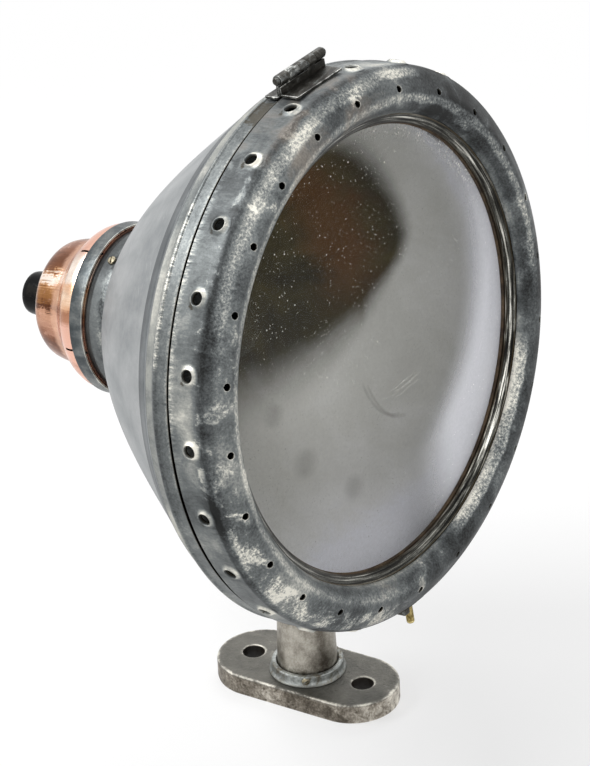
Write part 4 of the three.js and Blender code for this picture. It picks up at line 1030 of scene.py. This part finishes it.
def slotted_head(radius, seat, rise, slot, tip, shank, dome=0.35):
    """A screw along Y: shank from tip to seat, then a domed head with a slot across it."""
    form = Form()
    top = seat + rise
    brow = top - rise * dome * 0.45
    reach = radius * 0.88
    line = [(0.01, tip), (shank, tip), (shank, seat), (radius, seat)]
    line += [(radius, seat + rise * (1 - dome)), (reach, brow)]
    lathe(form, line, 28, wear=[0, 0, 0, 0.4, 0.8, 1.0])
    wide = slot / 2
    bound = math.asin(min(wide / reach, 0.9))
    count = 12
    sweep = np.linspace(bound, math.pi - bound, count)
    across, out = reach * np.cos(sweep), reach * np.sin(sweep)
    level = np.full(count, top)
    for side in (-1, 1):
        rim = np.stack([across, np.full(count, brow), side * out], 1)
        inner = np.stack([0.6 * across, level, side * np.maximum(0.6 * out, wide)], 1)
        edge = np.stack([rim[:, 0] * 0.9, level, np.full(count, side * wide)], 1)
        floor = edge - [0, slot, 0]
        form.grid([rim, inner, edge, floor], np.repeat([1.0, 0.8, 1.0, 0.0], count))
    bottom = [(x, top - slot, z) for x, z in rectangle(-radius, -wide, radius, wide)]
    form.add(bottom, [(0, 1, 2, 3)])
    return form


SET_SCREW_PLACE = spun(118, "Z") @ shifted(0, 0, PLATE_TOP + 4.3)
piece(
    "set_screw_slotted", slotted_head(3.1, 24.6, 3.1, 1.1, 23.4, 3.1), DARK_BRASS,
    "set_screw", ["base_set_screw"], SET_SCREW_PLACE @ spun(35, "Y"),
)

# Post, with the flat eye that the head tilts on

SHOULDER = 80.0
post_line = np.vstack([
    [(16, 5)],
    rounded([(16, 16.6), (22.6, 16.6), (20.7, SHOULDER), (13.8, 87), (0.02, 87)], 3.5, 6),
])
post_form = moved(turned_form(post_line, 96), UPRIGHT)
EYE = 14
eye = [(-EYE, SHOULDER - 6), (EYE, SHOULDER - 6)]
eye += [(EYE * math.cos(t), PIVOT_HEIGHT + EYE * math.sin(t)) for t in np.linspace(0, math.pi, 25)]
post_form.take(slab(rounded(eye, 0.5, 1, closed=True), -7, 7, 1.0), spun(90, "Z"))
piece("post_turned", post_form, POST_NICKEL, "post", ["post"], PANNED, crease=35)


# Front ring

RING = 203.0
RING_SHEET = 1.6
VENT_RADIUS = 187.3
VENT_COUNT = 24
VENT_FIRST = math.radians(-12.08)
SIDE_HOLE_Y = 22.3
SIDE_HOLES = [10.25 + 15 * i for i in range(11)]
SECTOR = math.radians(15)
BAND_FRONT = 15.5
BAND_MIDDLE = 29.1
BAND_BACK = 39.4
CROWN = flowing(
    [(RING, BAND_FRONT), (202.3, 12.2), (200, 9.0), (196.4, 5.9), (192.1, 3.0), (187.3, 0.1),
     (182.2, -0.9), (177.5, -0.3), (172.8, 2.4), (169.0, 6.6)], 5,
)
VENT_BAND = (192.1, 182.2)
PAINTED_SHADE = 2.0  # the stain level that paints a hidden face black, as painted shade
DEEP = -1.0  # below this height a hole's wall is inside


def pierced(form, surface, box, level, rings, across, up, marks=None):
    """A patch of a surface with a round hole at its zero. surface(u, v, height) places points;
    rings are (distance from the hole's centre, height, wear), from the outside in, and
    marks(u, v, wear) gives the wear and painted highlight, and the stain and painted shade, at each
    point. Rows deeper than DEEP are painted black, as painted shade in the hole."""
    (u0, u1), (v0, v1) = box
    us = np.linspace(u0, u1, across + 1)
    vs = np.linspace(v0, v1, up + 1)
    bound = [(u, v0) for u in us[:-1]] + [(u1, v) for v in vs[:-1]]
    bound = np.array(bound + [(u, v1) for u in us[:0:-1]] + [(u0, v) for v in vs[:0:-1]])
    out = bound / np.linalg.norm(bound, axis=1)[:, None]
    rows = [(bound, level, 0.0)]
    first = rings[0][0]
    rows += [(bound * (1 - t) + out * first * t, level, 0.0) for t in (0.35, 0.7)]
    rows += [(out * distance, height, wear) for distance, height, wear in rings]
    made = [surface(uv[:, 0], uv[:, 1], height) for uv, height, _ in rows]
    wears = np.repeat([wear for _, _, wear in rows], len(bound))
    stains_and_shade = np.zeros(len(wears))
    if marks:
        both = [marks(uv[:, 0], uv[:, 1], wear) for uv, _, wear in rows]
        wears, stains_and_shade = (np.concatenate(part) for part in zip(*both))
    hidden = np.repeat([height < DEEP for _, height, _ in rows], len(bound))
    form.grid(made, wears, np.where(hidden, PAINTED_SHADE, stains_and_shade), closed=True)


def band_surface(angle):
    def surface(u, v, height):
        turn = angle + u / RING
        radius = RING + height
        return np.stack([radius * np.sin(turn), SIDE_HOLE_Y + v, radius * np.cos(turn)], 1)
    return surface


def crown_surface(angle):
    radii, ys = CROWN[::-1, 0], CROWN[::-1, 1]
    slopes = np.gradient(ys, radii)

    def surface(u, v, height):
        turn = angle + u / VENT_RADIUS
        radius = VENT_RADIUS + v
        y = np.interp(radius, radii, ys)
        slope = np.interp(radius, radii, slopes)
        lean = np.sqrt(1 + slope**2)
        radius = radius + height * slope / lean
        y = y - height / lean
        return np.stack([radius * np.sin(turn), y, radius * np.cos(turn)], 1)
    return surface


def lip_marks(angle):
    """Wear and a painted highlight on a side hole's front and upper side, where light falls; dirt
    and painted shade on its rear and lower side.
    """
    upward = -math.copysign(1, math.sin(angle))

    def marks(u, v, wear):
        away = np.hypot(u, v)
        # Painted highlight: brighter round the lip on the side that faces the light.
        lit = np.clip(0.55 + 0.75 * (0.5 * upward * u - v) / np.maximum(away, 0.1), 0, 1.25)
        glow = np.exp(-((away - 6.2) / 1.7) ** 2) * lit * 0.9
        # Dirt with painted shade, on the rear, lower side of the lip.
        dirt_and_shade = 0.62 * np.exp(-(((u + upward * 5.6) / 4.2) ** 2 + ((v - 4.4) / 3.2) ** 2))
        return np.maximum(wear * np.clip(lit + 0.25, 0, 1), glow), dirt_and_shade
    return marks


SIDE_HOLE = 4.5
LIP_RINGS = [(9.2, 0, 0), (8.2, 0.08, 0.1), (7.2, 0.4, 0.3), (6.4, 1.0, 0.7), (5.8, 1.6, 1.0)]
LIP_RINGS += [(5.3, 1.95, 1.0), (4.95, 1.9, 1.0), (4.7, 1.5, 0.9), (4.6, 0.6, 0.2)]
LIP_RINGS += [(SIDE_HOLE, -RING_SHEET, 0.0)]
VENT_RINGS = [(3.2, 0, 0.1), (2.95, -0.02, 0.5), (2.75, -0.2, 0.8), (2.7, -RING_SHEET, 0.0)]

GAPE = 3.4
GAPE_MIDDLE = -140
GAPE_HALF = 62


def gaping(points):
    """The points with the ring's rear edge moved forward at the lower left, clear of the drum."""
    points = np.array(points, float)
    degrees = np.degrees(np.arctan2(points[:, 0], points[:, 2]))
    off = np.abs((degrees - GAPE_MIDDLE + 180) % 360 - 180) / GAPE_HALF
    share = np.clip(1 - off, 0, 1) ** 0.7 * np.clip((points[:, 1] - BAND_MIDDLE) / 9, 0, 1)
    points[:, 1] -= GAPE * share
    return points


def front_ring():
    form = Form()
    half = SECTOR * RING / 2
    for side in (-1, 1):
        for degrees in SIDE_HOLES:
            angle = side * math.radians(degrees)
            box = ((-half, half), (BAND_FRONT - SIDE_HOLE_Y, BAND_MIDDLE - SIDE_HOLE_Y))
            surface = band_surface(angle)
            pierced(form, surface, box, 0, LIP_RINGS, 16, 12, lip_marks(angle))
            pierced(form, surface, box, -RING_SHEET, [(SIDE_HOLE, -RING_SHEET, 0)], 16, 12)
    top = math.radians(SIDE_HOLES[0]) - SECTOR / 2
    bottom = math.radians(SIDE_HOLES[-1]) + SECTOR / 2
    for low, high in ((-top, top), (bottom, FULL - bottom)):
        angles = np.linspace(low, high, 17)
        # The band's inner face is painted black, as painted shade in the holes.
        for radius, stain in ((RING, 0.0), (RING - RING_SHEET, PAINTED_SHADE)):
            rows = [ring_points(radius, y, angles) for y in np.linspace(BAND_FRONT, BAND_MIDDLE, 5)]
            form.grid(rows, stain=stain)
    hem = [(RING, BAND_MIDDLE), (RING, 38.0), (RING, BAND_BACK)]
    hem += [(RING - RING_SHEET, BAND_BACK), (RING - RING_SHEET, BAND_MIDDLE)]
    back = rounded(hem, 0.6, 3)
    # Painted shade: the rear edge and inner hem are black, for the gap in front of the drum.
    hidden = (back[:, 0] < RING - 0.3) | (back[:, 1] > BAND_BACK - 0.7)
    lathe(form, back, 192, stain=np.where(hidden, PAINTED_SHADE, 0.0))
    across = 8
    count = VENT_COUNT * across
    start = VENT_FIRST + SECTOR / 2
    inner = beside(CROWN, -RING_SHEET)
    outer_part = CROWN[CROWN[:, 0] >= VENT_BAND[0] - 1e-6]
    inner_part = CROWN[CROWN[:, 0] <= VENT_BAND[1] + 1e-6]
    lip_wear = np.clip((172.0 - inner_part[:, 0]) / 4, 0, 1) * 0.6
    lathe(form, outer_part, count, start)
    lathe(form, inner_part, count, start, wear=lip_wear)
    # The crown's inner face is painted black, as painted shade in the vents.
    lathe(form, inner, count, start, stain=PAINTED_SHADE)
    tail = np.vstack([CROWN[-1], (168.7, 8.4), (169.6, 8.6), inner[-1]])
    lathe(form, tail, count, start, wear=[0.6, 0.5, 0.3, 0.0])
    for i in range(VENT_COUNT):
        angle = VENT_FIRST - SECTOR * i
        span = SECTOR * VENT_RADIUS / 2
        box = ((-span, span), (VENT_BAND[1] - VENT_RADIUS, VENT_BAND[0] - VENT_RADIUS))
        pierced(form, crown_surface(angle), box, 0, VENT_RINGS, across, 4)
    form.points = [gaping(p) for p in form.points]
    return form


piece(
    "front_ring_spun", front_ring(), RING_STEEL, "door", ["bezel_ring"],
    crease=42,
)

# Glass, its frame ring and gasket

frame_line = sheet_line([(176, 8.9), (169.4, 8.9), (168.2, 9.1), (161.3, 13.4)], -1.2)
piece(
    "glass_frame_cone", turned_form(frame_line, 192), FRAME_METAL, "door",
    ["glass_frame_ring"], crease=30,
)
gasket_line = shut(rectangle(160.5, 15.0, 166.0, 16.7))
piece("gasket_cork", turned_form(gasket_line, 192), GASKET, "door", ["glass_gasket"])


def glass_lens():
    """A round glass that bulges to the front, with a flat border."""
    shares = np.linspace(0, 1, 24)
    flat_from = 160.0
    bulge = 8.0
    front = [(0.02 + flat_from * s, 17.0 - bulge * (1 - s * s)) for s in shares]
    back = [(radius, y + 4.0) for radius, y in front]
    line = [*front, (165.6, 17.0), (165.9, 17.3), (165.9, 20.7), (165.6, 21.0), *back[::-1]]
    return turned_form(line, 160)


piece("front_glass_lens", glass_lens(), GLASS, "door", ["front_glass"], crease=30)

# Housing

CONE_FRONT = np.array([187.4, 73.6])
CONE_REAR = np.array([70.0, 205.0])


def cone_line():
    """The cone's swelling side."""
    near = CONE_FRONT + (CONE_REAR - CONE_FRONT) * (0.31, 0.361)
    far = CONE_FRONT + (CONE_REAR - CONE_FRONT) * (0.591, 0.749)
    t = np.linspace(0, 1, 48)[:, None]
    first, last = (1 - t) ** 3 * CONE_FRONT, t**3 * CONE_REAR
    return first + 3 * t * (1 - t) ** 2 * near + 3 * t**2 * (1 - t) * far + last


DRUM_LINE = np.vstack([
    [(196, 24), (196, 33.4)],
    rounded([(196, 36.6), (196, 40.9), (200.6, 40.9), (200.6, 42.7)], 0.9, 4),
    [(200.6, 50.8)],
    flowing([(200.6, 51.2), (201.3, 52.1), (201.5, 53.0), (201.1, 54.1), (200.0, 55.2),
             (199.2, 56.0)], 3),
    [(198.9, 56.3), (197.2, 56.6), (196.6, 57.1)],
    flowing([(196.5, 57.4), (194.9, 59.8), (193.9, 62.3), (193.2, 64.6), (192.7, 67.0)], 3),
])
CONE_LINE = np.vstack([
    flowing([(192.6, 67.2), (191.4, 68.9), (189.8, 69.9), (188.5, 71.2), tuple(CONE_FRONT)], 3),
    cone_line()[1:],
    flowing([(70, 205), (66.2, 208.2), (61.5, 209.3), (58.2, 210.2), (57.5, 212)], 3)[1:],
    [(57.5, 234)],
])
SPIGOT_END = 42.0
# From here to its end the spigot is painted black, as painted shade in the gap.
SHADE_FROM = 36.0
BEAD_BACK = 52.6


def drum_wear_and_sheen(line):
    # Painted highlight, partly rubbed metal, along the bead and the front lip.
    bead = np.exp(-(((line[:, 1] - 52.8) / 1.3) ** 2))
    lip = np.exp(-(((line[:, 1] - 41.9) / 0.7) ** 2)) * (line[:, 0] > 200)
    return np.clip(bead * 0.12 + lip * 0.35, 0, 1)


def drum_stain_and_shade(y, angles):
    """Old paint left beside the hinge and on the spigot, and painted shade: the spigot is black
    where the gap in front of the drum is.
    """
    degrees = np.degrees((angles + math.pi) % FULL - math.pi)
    left = np.clip((degrees + 19) / 6, 0, 1) * np.clip((-5 - degrees) / 4, 0, 1)
    if y < SPIGOT_END:
        return np.full(len(angles), PAINTED_SHADE if y > SHADE_FROM else 0.42)
    return left * 0.8 * (y < BEAD_BACK)


def housing_part(line, stain=0.0):
    form = Form()
    lathe(form, line, 288, wear=drum_wear_and_sheen(line), stain=stain)
    lathe(form, beside(line, 1.5), 192)
    return form


piece(
    "housing_drum", housing_part(DRUM_LINE, drum_stain_and_shade), DRUM_STEEL, "head",
    ["housing_shell"], crease=50,
)
piece("housing_cone", housing_part(CONE_LINE), CONE_STEEL, "head", crease=50)

# Neck collar and its four screws

neck_line = np.vstack([
    rounded([(57.8, 209.9), (59.8, 209.9), (60.6, 212.5), (61.0, 214.8), (61.0, 224.9),
             (59.9, 226.8)], 1.2, 4),
    [(59.9, 246.0), (57.8, 246.0)],
])
neck_wear = np.where((neck_line[:, 1] > 213) & (neck_line[:, 1] < 225), 0.1, 0.0)
piece(
    "neck_collar_bead", turned_form(neck_line, 144, neck_wear), NECK_STEEL, "head",
    ["neck_collar"], crease=40,
)


def on_drum(degrees, y):
    """Turns +Y to point outwards at an angle round the axis."""
    return spun(degrees, "Y") @ shifted(0, y, 0) @ UPRIGHT


NECK_SCREW_Y = 218.5
for index in range(4):
    place = HOUSE @ on_drum(-28 + 90 * index, NECK_SCREW_Y) @ spun(20 + 50 * index, "Y")
    piece(
        f"neck_screw_head_{index + 1}", slotted_head(3.3, 61.2, 2.3, 1.0, 56, 1.8, 0.6),
        DARK_BRASS, "head", [f"neck_screw_{index + 1}"], place,
    )

# Copper cap with five slits in its skirt

SKIRT = 61.6
SLIT_FIRST = -24
SLIT_PITCH = 72
SLIT_HALF = 0.9
SLIT_BACK = 251.0
CAP_WALL = 1.4
CAP_LINE = np.vstack([
    [(SKIRT, 229.4), (SKIRT, 236), (SKIRT, 242.6)],
    flowing([(61.9, 243.8), (61.9, 246.4), (61.2, 249.4), (59.4, 253.2), (56.7, 256.6),
             (53.8, 259.8), (51, 262.3)], 4),
    flowing([(49.2, 264.2), (47.9, 266.1), (47.0, 268.4), (46.8, 271.9), (46.4, 277.5),
             (45.5, 283.0), (43.9, 288.2), (41.4, 291.8), (37.6, 294.7), (32.6, 296.9),
             (24.5, 298.5), (13.6, 299.0)], 5),
])


def copper_cap():
    form = Form()
    slit_angles = [math.radians(SLIT_FIRST - SLIT_PITCH * i) % FULL for i in range(5)]
    half = SLIT_HALF / SKIRT
    edges = sorted(angle + side * half for angle in slit_angles for side in (-1, 1))
    angles = []
    slit = []
    for low, high in zip(edges, edges[1:] + [edges[0] + FULL]):
        narrow = high - low < 4 * half
        steps = 3 if narrow else 30
        angles += list(np.linspace(low, high, steps, endpoint=False))
        slit += [narrow] * steps
    angles = np.array(angles)
    line = CAP_LINE
    inner = beside(line, CAP_WALL)
    stop = int(np.sum(line[:, 1] <= SLIT_BACK))
    gaps = {(r, c) for r in range(stop - 1) for c in np.flatnonzero(slit)}
    for part in (line, inner):
        form.grid([ring_points(r, y, angles) for r, y in part], closed=True, gaps=gaps)
    for edge in edges:
        at = np.array([edge])
        form.grid([[ring_points(r, y, at)[0] for r, y in part[:stop]] for part in (line, inner)])
    for row in (0, -1):
        form.grid([ring_points(*part[row], angles) for part in (line, inner)], closed=True)
    return form


piece("copper_cap", copper_cap(), COPPER, "cap", ["rear_cap"], crease=40)

# Clamp band with its two lugs, screw and nut

BAND_SPLIT_ANGLE = 140
BAND_SPLIT = 2.5
LUG = 1.8
BAND_IN, BAND_OUT = 61.9, 63.7
BAND_Y = (230.4, 241.7)


def clamp_band():
    form = Form()
    section = rectangle(BAND_IN, BAND_Y[0], BAND_OUT, BAND_Y[1])
    loop = shut(rounded(section, 0.6, 3, closed=True))
    half = BAND_SPLIT / BAND_OUT
    angles = np.linspace(half, FULL - half, 145)
    front = np.clip(1.2 - (loop[:, 1] - BAND_Y[0]) * 1.5, 0, 1)
    form.grid([ring_points(r, y, angles) for r, y in loop], np.repeat(front, len(angles)))
    for side in (-1, 1):
        x0, x1 = sorted((side * BAND_SPLIT, side * (BAND_SPLIT + LUG)))
        form.take(box_form((x0, BAND_Y[0], BAND_IN + 0.3), (x1, BAND_Y[1], BAND_OUT + 11), 0.5))
    return form


SPLIT = spun(BAND_SPLIT_ANGLE, "Y")
piece(
    "clamp_band_split", clamp_band(), BAND_STEEL, "cap", ["clamp_band"],
    HOUSE @ SPLIT, crease=40,
)
BAND_SCREW_PLACE = HOUSE @ SPLIT @ shifted(0, sum(BAND_Y) / 2, BAND_OUT + 5.6) @ SIDEWAYS
piece(
    "band_screw_slotted", slotted_head(4.1, 4.7, 2.7, 1.1, -10, 2.2), BRIGHT,
    "band_screw", ["band_screw"], BAND_SCREW_PLACE,
)


def hexagon(across, low, high, bore):
    """A nut along Y."""
    form = Form()
    edge = 0.5
    outline = rounded(circle(across / 2, 6), 0.5, 2, closed=True)
    narrow = outline * 0.93
    hole = circle(bore, len(outline))
    start = np.argmin(np.linalg.norm(hole - outline[0], axis=1))
    hole = np.roll(hole, -start, axis=0)
    levels = [(hole, low), (narrow, low), (outline, low + edge), (outline, high - edge)]
    levels += [(narrow, high), (hole, high), (hole, low)]
    rows = [at_distance(ring, y) for ring, y in levels]
    form.grid(rows, np.repeat([0, 0.8, 0.8, 0.8, 0.8, 0, 0], len(outline)), closed=True)
    return form


piece(
    "band_nut_hex", hexagon(9.0, -8.4, -4.7, 2.5), BRIGHT, "cap", ["band_nut"],
    BAND_SCREW_PLACE, crease=30,
)

# Cable entry: threaded nipple, locknut and black bush

THREAD_PITCH = 1.4


def threaded(radius, depth, low, high, bore, pitch=THREAD_PITCH):
    """A threaded tube: its thread winds round it in one unbroken helix."""
    form = Form()
    per = 40
    turns = np.arange(int((high - low) / pitch) * per + 1) / per
    rows = []
    for phase, height in ((0.0, 0.0), (0.35, 0.0), (0.55, 1.0), (0.75, 1.0), (1.0, 0.0)):
        row = ring_points(radius - depth * (1 - height), 0.0, turns * FULL)
        row[:, 1] = np.clip(low + (turns + phase) * pitch, low, high)
        rows.append(row)
    form.grid(rows, np.repeat([0, 0, 1.0, 1.0, 0], len(turns)))
    lathe(form, [(radius - depth, low), (bore, low), (bore, high), (radius - depth, high)], per)
    return form


nipple = threaded(13.2, 0.7, 283, 314, 8)
piece("nipple_threaded", nipple, BRASS, "cap", ["cable_nipple"])
piece(
    "locknut_hex", hexagon(35, 289.9, 293.2, 13.5), BRASS, "cap", ["nipple_locknut"],
    crease=30,
)
bush_line = np.vstack([
    [(13.5, 304)],
    rounded([(13.6, 304), (15.8, 304), (16.4, 306), (16.4, 323.2), (15.6, 326.7), (12.2, 328),
             (6.2, 328), (6.0, 314.4)], 1.6, 5),
    [(13.5, 314.4), (13.5, 304)],
])
piece(
    "cable_bush_black", turned_form(bush_line, 72), BLACK, "cap", ["cable_bush"],
    crease=60,
)

# Hinge at the top: two leaves with knuckles on one pin

HINGE_HALF = 26.4
HINGE_Y = 38.7
HINGE_Z = 215.2
KNUCKLE = 4.0
KNUCKLE_LONG = 2 * HINGE_HALF / 5
KNUCKLE_GAP = 0.2
LEAF = 1.7
HINGE_LINE = shifted(0, HINGE_Y, HINGE_Z)


def knuckle_ends(index):
    low = -HINGE_HALF + index * KNUCKLE_LONG + KNUCKLE_GAP
    return low, low + KNUCKLE_LONG - 2 * KNUCKLE_GAP


def knuckle(index):
    low, high = knuckle_ends(index)
    line = rounded([(2.0, low), (KNUCKLE, low), (KNUCKLE, high), (2.0, high)], 0.6, 3)
    middle = 0.45 if index % 2 else 0.05
    inner = np.abs(line[:, 1] - (low + high) / 2) < (high - low) / 2 - 0.3
    form = turned_form(line, 32, wear=np.where(inner, middle, 0.5))
    return moved(form, HINGE_LINE @ SIDEWAYS)


def leaf_plate(front, back, low):
    outline = rounded(rectangle(-HINGE_HALF, front, HINGE_HALF, back), 1.2, 3, closed=True)
    y_for_z = Matrix(((1, 0, 0, 0), (0, 0, 1, 0), (0, 1, 0, 0), (0, 0, 0, 1)))
    return moved(slab(outline, low, low + LEAF, 0.35), y_for_z)


def upstand(front, back, low, knuckles):
    """The part of a leaf that stands up to the pin, cut away beside the other leaf's knuckles."""
    form = box_form((-HINGE_HALF, front, low), (HINGE_HALF, back, HINGE_Z - KNUCKLE - 0.5), 0.3)
    for index in knuckles:
        x0, x1 = knuckle_ends(index)
        form.take(box_form((x0, front, HINGE_Z - KNUCKLE - 1), (x1, back, HINGE_Z), 0.3))
    return form


front_leaf = leaf_plate(22.6, 38.5, RING + 0.3)
front_leaf.take(upstand(36.9, 38.5, RING + 0.4, (1, 3)))
rear_leaf = leaf_plate(40.5, 52.1, 200.9)
rear_leaf.take(upstand(38.9, 40.7, RING + 0.4, (0, 2, 4)))
for index in range(5):
    (front_leaf if index % 2 else rear_leaf).take(knuckle(index))
for name, leaf, body, covered in (
    ("front_hinge_leaf", front_leaf, "door", "door_hinge_leaf"),
    ("rear_hinge_leaf", rear_leaf, "head", "body_hinge_leaf"),
):
    piece(name, leaf, HINGE_STEEL, body, [covered], crease=30)
pin_end = HINGE_HALF + 0.3
pin_line = [(0.02, -pin_end - 1.9), (2.4, -pin_end - 1.7), (3.0, -pin_end - 1.0)]
pin_line += [(3.0, -pin_end), (1.7, -pin_end)]
pin_line += [(r, -y) for r, y in pin_line[::-1]]
pin_form = moved(turned_form(pin_line, 24, wear=0.6), HINGE_LINE @ SIDEWAYS)
piece("hinge_pin_headed", pin_form, HINGE_STEEL, "head", ["hinge_pin"], crease=30)

# Latch: plate under the ring, brass clamp screw through it

LATCH_PLACE = HOUSE @ on_drum(180, SIDE_HOLE_Y)
latch = box_form((-12.5, RING + 0.3, -6), (12.5, RING + 3.7, 6), 0.5)
latch.take(box_form((5.5, RING + 2.0, -6), (12.5, RING + 7.5, 6), 0.8))
piece(
    "latch_plate_steel", latch, HINGE_STEEL, "door", ["latch_plate"], LATCH_PLACE,
    crease=30,
)
latch_screw = threaded(3.0, 0.35, 196.8, 221.0, 0.5, 1.0)
latch_end = [(2.65, 220.9), (2.9, 221.3), (2.8, 222.1), (2.2, 222.7), (0.02, 222.8)]
lathe(latch_screw, latch_end, 28, wear=[0.5, 1, 1, 0.8, 0.5])
piece(
    "latch_screw_brass", latch_screw, BRASS, "latch", ["latch_screw"], LATCH_PLACE,
    crease=40,
)

# Mirror bowl and lamp inside

BOWL_RIM, BOWL_RIM_Y = 178.0, 29.0
BOWL_VERTEX_Y = 185.0
four_focal = BOWL_RIM**2 / (BOWL_VERTEX_Y - BOWL_RIM_Y)
bowl_radii = np.linspace(BOWL_RIM, 34, 40)
bowl_line = np.vstack([
    [(192.4, BOWL_RIM_Y), (180.5, BOWL_RIM_Y), (179.2, BOWL_RIM_Y + 0.3)],
    np.column_stack([bowl_radii, BOWL_VERTEX_Y - bowl_radii**2 / four_focal]),
])
piece(
    "mirror_bowl_spun", turned_form(sheet_line(bowl_line, -1.2), 160), MIRROR, "head",
    ["reflector"], crease=50,
)

bulb_line = flowing(
    [(0.5, 126), (11, 126.9), (20, 131), (26, 139), (28, 152), (28, 172), (26.5, 188), (22, 203),
     (18.2, 214), (17.2, 221), (17.2, 238)], 4,
)
piece("lamp_bulb_glass", turned_form(bulb_line, 48), BULB_GLASS, "lamp", ["lamp_globe"])
lamp_base = threaded(19.1, 0.9, 222, 258, 17.5, 4.2)
piece("lamp_screw_base", lamp_base, BRASS, "lamp", ["lamp_base"])
socket_line = [(20.8, 236), (25, 236), (25, 272), (3, 272), (3, 265), (20.8, 265)]
socket_line = shut(rounded(socket_line, 1.2, 4, closed=True))
piece(
    "socket_porcelain", turned_form(socket_line, 64), PORCELAIN, "cap",
    ["lamp_socket"], crease=50,
)

# CAD solids that keep their shape and get their finish here

CARRIED = [
    (BRIGHT, ["tilt_bolt", "tilt_washer_left", "tilt_washer_right", "socket_strap"]),
    (BRIGHT, [f"bracket_rivet_{i}" for i in range(1, 5)]),
    (BRIGHT, [f"reflector_clip_{i}" for i in range(1, 4)]),
    (CLIP_ZINC, [f"glass_clip_{i}" for i in range(1, 5)]),
    (BRASS, ["tilt_wing_nut", "socket_shell", "socket_contact"]),
    (BRASS, ["strap_screw_1", "strap_screw_2"]),
    (BRACKET_STEEL, ["tilt_bracket"]),
    (BULB_GLASS, ["lamp_stem"]),
    (TUNGSTEN, ["lamp_filament"]),
]
for finish, names in CARRIED:
    for name in names:
        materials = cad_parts[name].data.materials
        materials.clear()
        materials.append(finish)

# Camera, from the fit of the photograph

CAMERA_AZIMUTH = math.radians(-57.38)
CAMERA_ELEVATION = math.radians(30.01)
CAMERA_ROLL = math.radians(-2.91)
FIT_SCALE = 0.9442
CAMERA_RIGHT = -10.2 * FIT_SCALE
CAMERA_UP = 223.6 * FIT_SCALE
CAMERA_AWAY = 4087.8 * FIT_SCALE
FOCAL_PIXELS = 5191.1
PHOTO_HEIGHT = 766
SENSOR = 36.0


def camera_axes():
    ca, sa = math.cos(CAMERA_AZIMUTH), math.sin(CAMERA_AZIMUTH)
    ce, se = math.cos(CAMERA_ELEVATION), math.sin(CAMERA_ELEVATION)
    back = Vector((sa * ce, -ca * ce, se))
    right = Vector((ca, sa, 0))
    up = back.cross(right)
    cr, sr = math.cos(CAMERA_ROLL), math.sin(CAMERA_ROLL)
    return cr * right + sr * up, -sr * right + cr * up, back


RIGHT, UP, BACK = camera_axes()
camera_data = bpy.data.cameras.new("camera")
camera_data.sensor_fit = "VERTICAL"
camera_data.sensor_height = SENSOR
camera_data.lens = FOCAL_PIXELS * SENSOR / PHOTO_HEIGHT
camera_data.clip_end = 50
camera = bpy.data.objects.new("camera", camera_data)
bpy.context.scene.collection.objects.link(camera)
stand = CAMERA_RIGHT * RIGHT + CAMERA_UP * UP + CAMERA_AWAY * BACK + Vector((0, 0, PLATE_TOP))
turn = Matrix((RIGHT, UP, BACK)).transposed().to_4x4()
camera.matrix_world = Matrix.Translation(stand * MM) @ turn
bpy.context.scene.camera = camera

# Light and floor

AIM = Vector((0, 0, 0.28))


def soft_light(name, right, up, back, away, size, power):
    """A square lamp that faces the object from a side given in the camera's directions."""
    lamp = bpy.data.lights.new(name, "AREA")
    lamp.size = size
    lamp.energy = power
    made = bpy.data.objects.new(name, lamp)
    bpy.context.scene.collection.objects.link(made)
    out = (right * RIGHT + up * UP + back * BACK).normalized()
    made.location = AIM + away * out
    made.rotation_euler = out.to_track_quat("Z", "Y").to_euler()


soft_light("key", -0.9, 0.9, 0.6, 1.7, 0.9, 26)
soft_light("fill", 0.9, 0.2, 0.9, 2.2, 1.2, 10)
soft_light("top", 0.1, 1.0, -0.2, 1.6, 1.0, 10)

WORLD_LEVEL = 0.42


def seen_directly(nodes):
    """1 for rays that the camera, a gloss or clear glass sends out."""
    path = nodes.node("ShaderNodeLightPath")
    seen = path.math("MAXIMUM", path.other("Is Glossy Ray"))
    return seen.math("MAXIMUM", path.other("Is Transmission Ray"))


studio = bpy.data.worlds.new("studio")
bpy.context.scene.world = studio
around = Nodes(studio)
level = WORLD_LEVEL + seen_directly(around) * (1 - WORLD_LEVEL)
glow = around.node("ShaderNodeBackground", None, {"Color": (1, 1, 1, 1), "Strength": level})
around.node("ShaderNodeOutputWorld", None, {"Surface": glow})

FLOOR_HALF = 3.0
FLOOR_WHITE = 0.6
FLOOR_FADE = (0.35, 1.3)
floor_mesh = bpy.data.meshes.new("floor")
corners = rectangle(-FLOOR_HALF, -FLOOR_HALF, FLOOR_HALF, FLOOR_HALF)
floor_mesh.from_pydata([(x, y, 0) for x, y in corners], [], [(0, 1, 2, 3)])
floor = bpy.data.objects.new("floor", floor_mesh)
bpy.context.scene.collection.objects.link(floor)
ground = new_finish("floor_white")
matt = ground.node("ShaderNodeBsdfDiffuse", None, {"Color": (0.9, 0.9, 0.9, 1)})
lit = ground.node("ShaderNodeEmission", None, {"Color": (1, 1, 1, 1), "Strength": 1.0})
here_x, here_y, _ = ground.parts(ground.place())
away = ground.step(length(here_x, here_y), *FLOOR_FADE)
white = FLOOR_WHITE + away * (1 - FLOOR_WHITE)
blend = ground.node("ShaderNodeMixShader", None, [seen_directly(ground) * white, matt, lit])
ground.node("ShaderNodeOutputMaterial", None, {"Surface": blend})
floor_mesh.materials.append(ground.owner)

view = bpy.context.scene.view_settings
view.view_transform = "Standard"
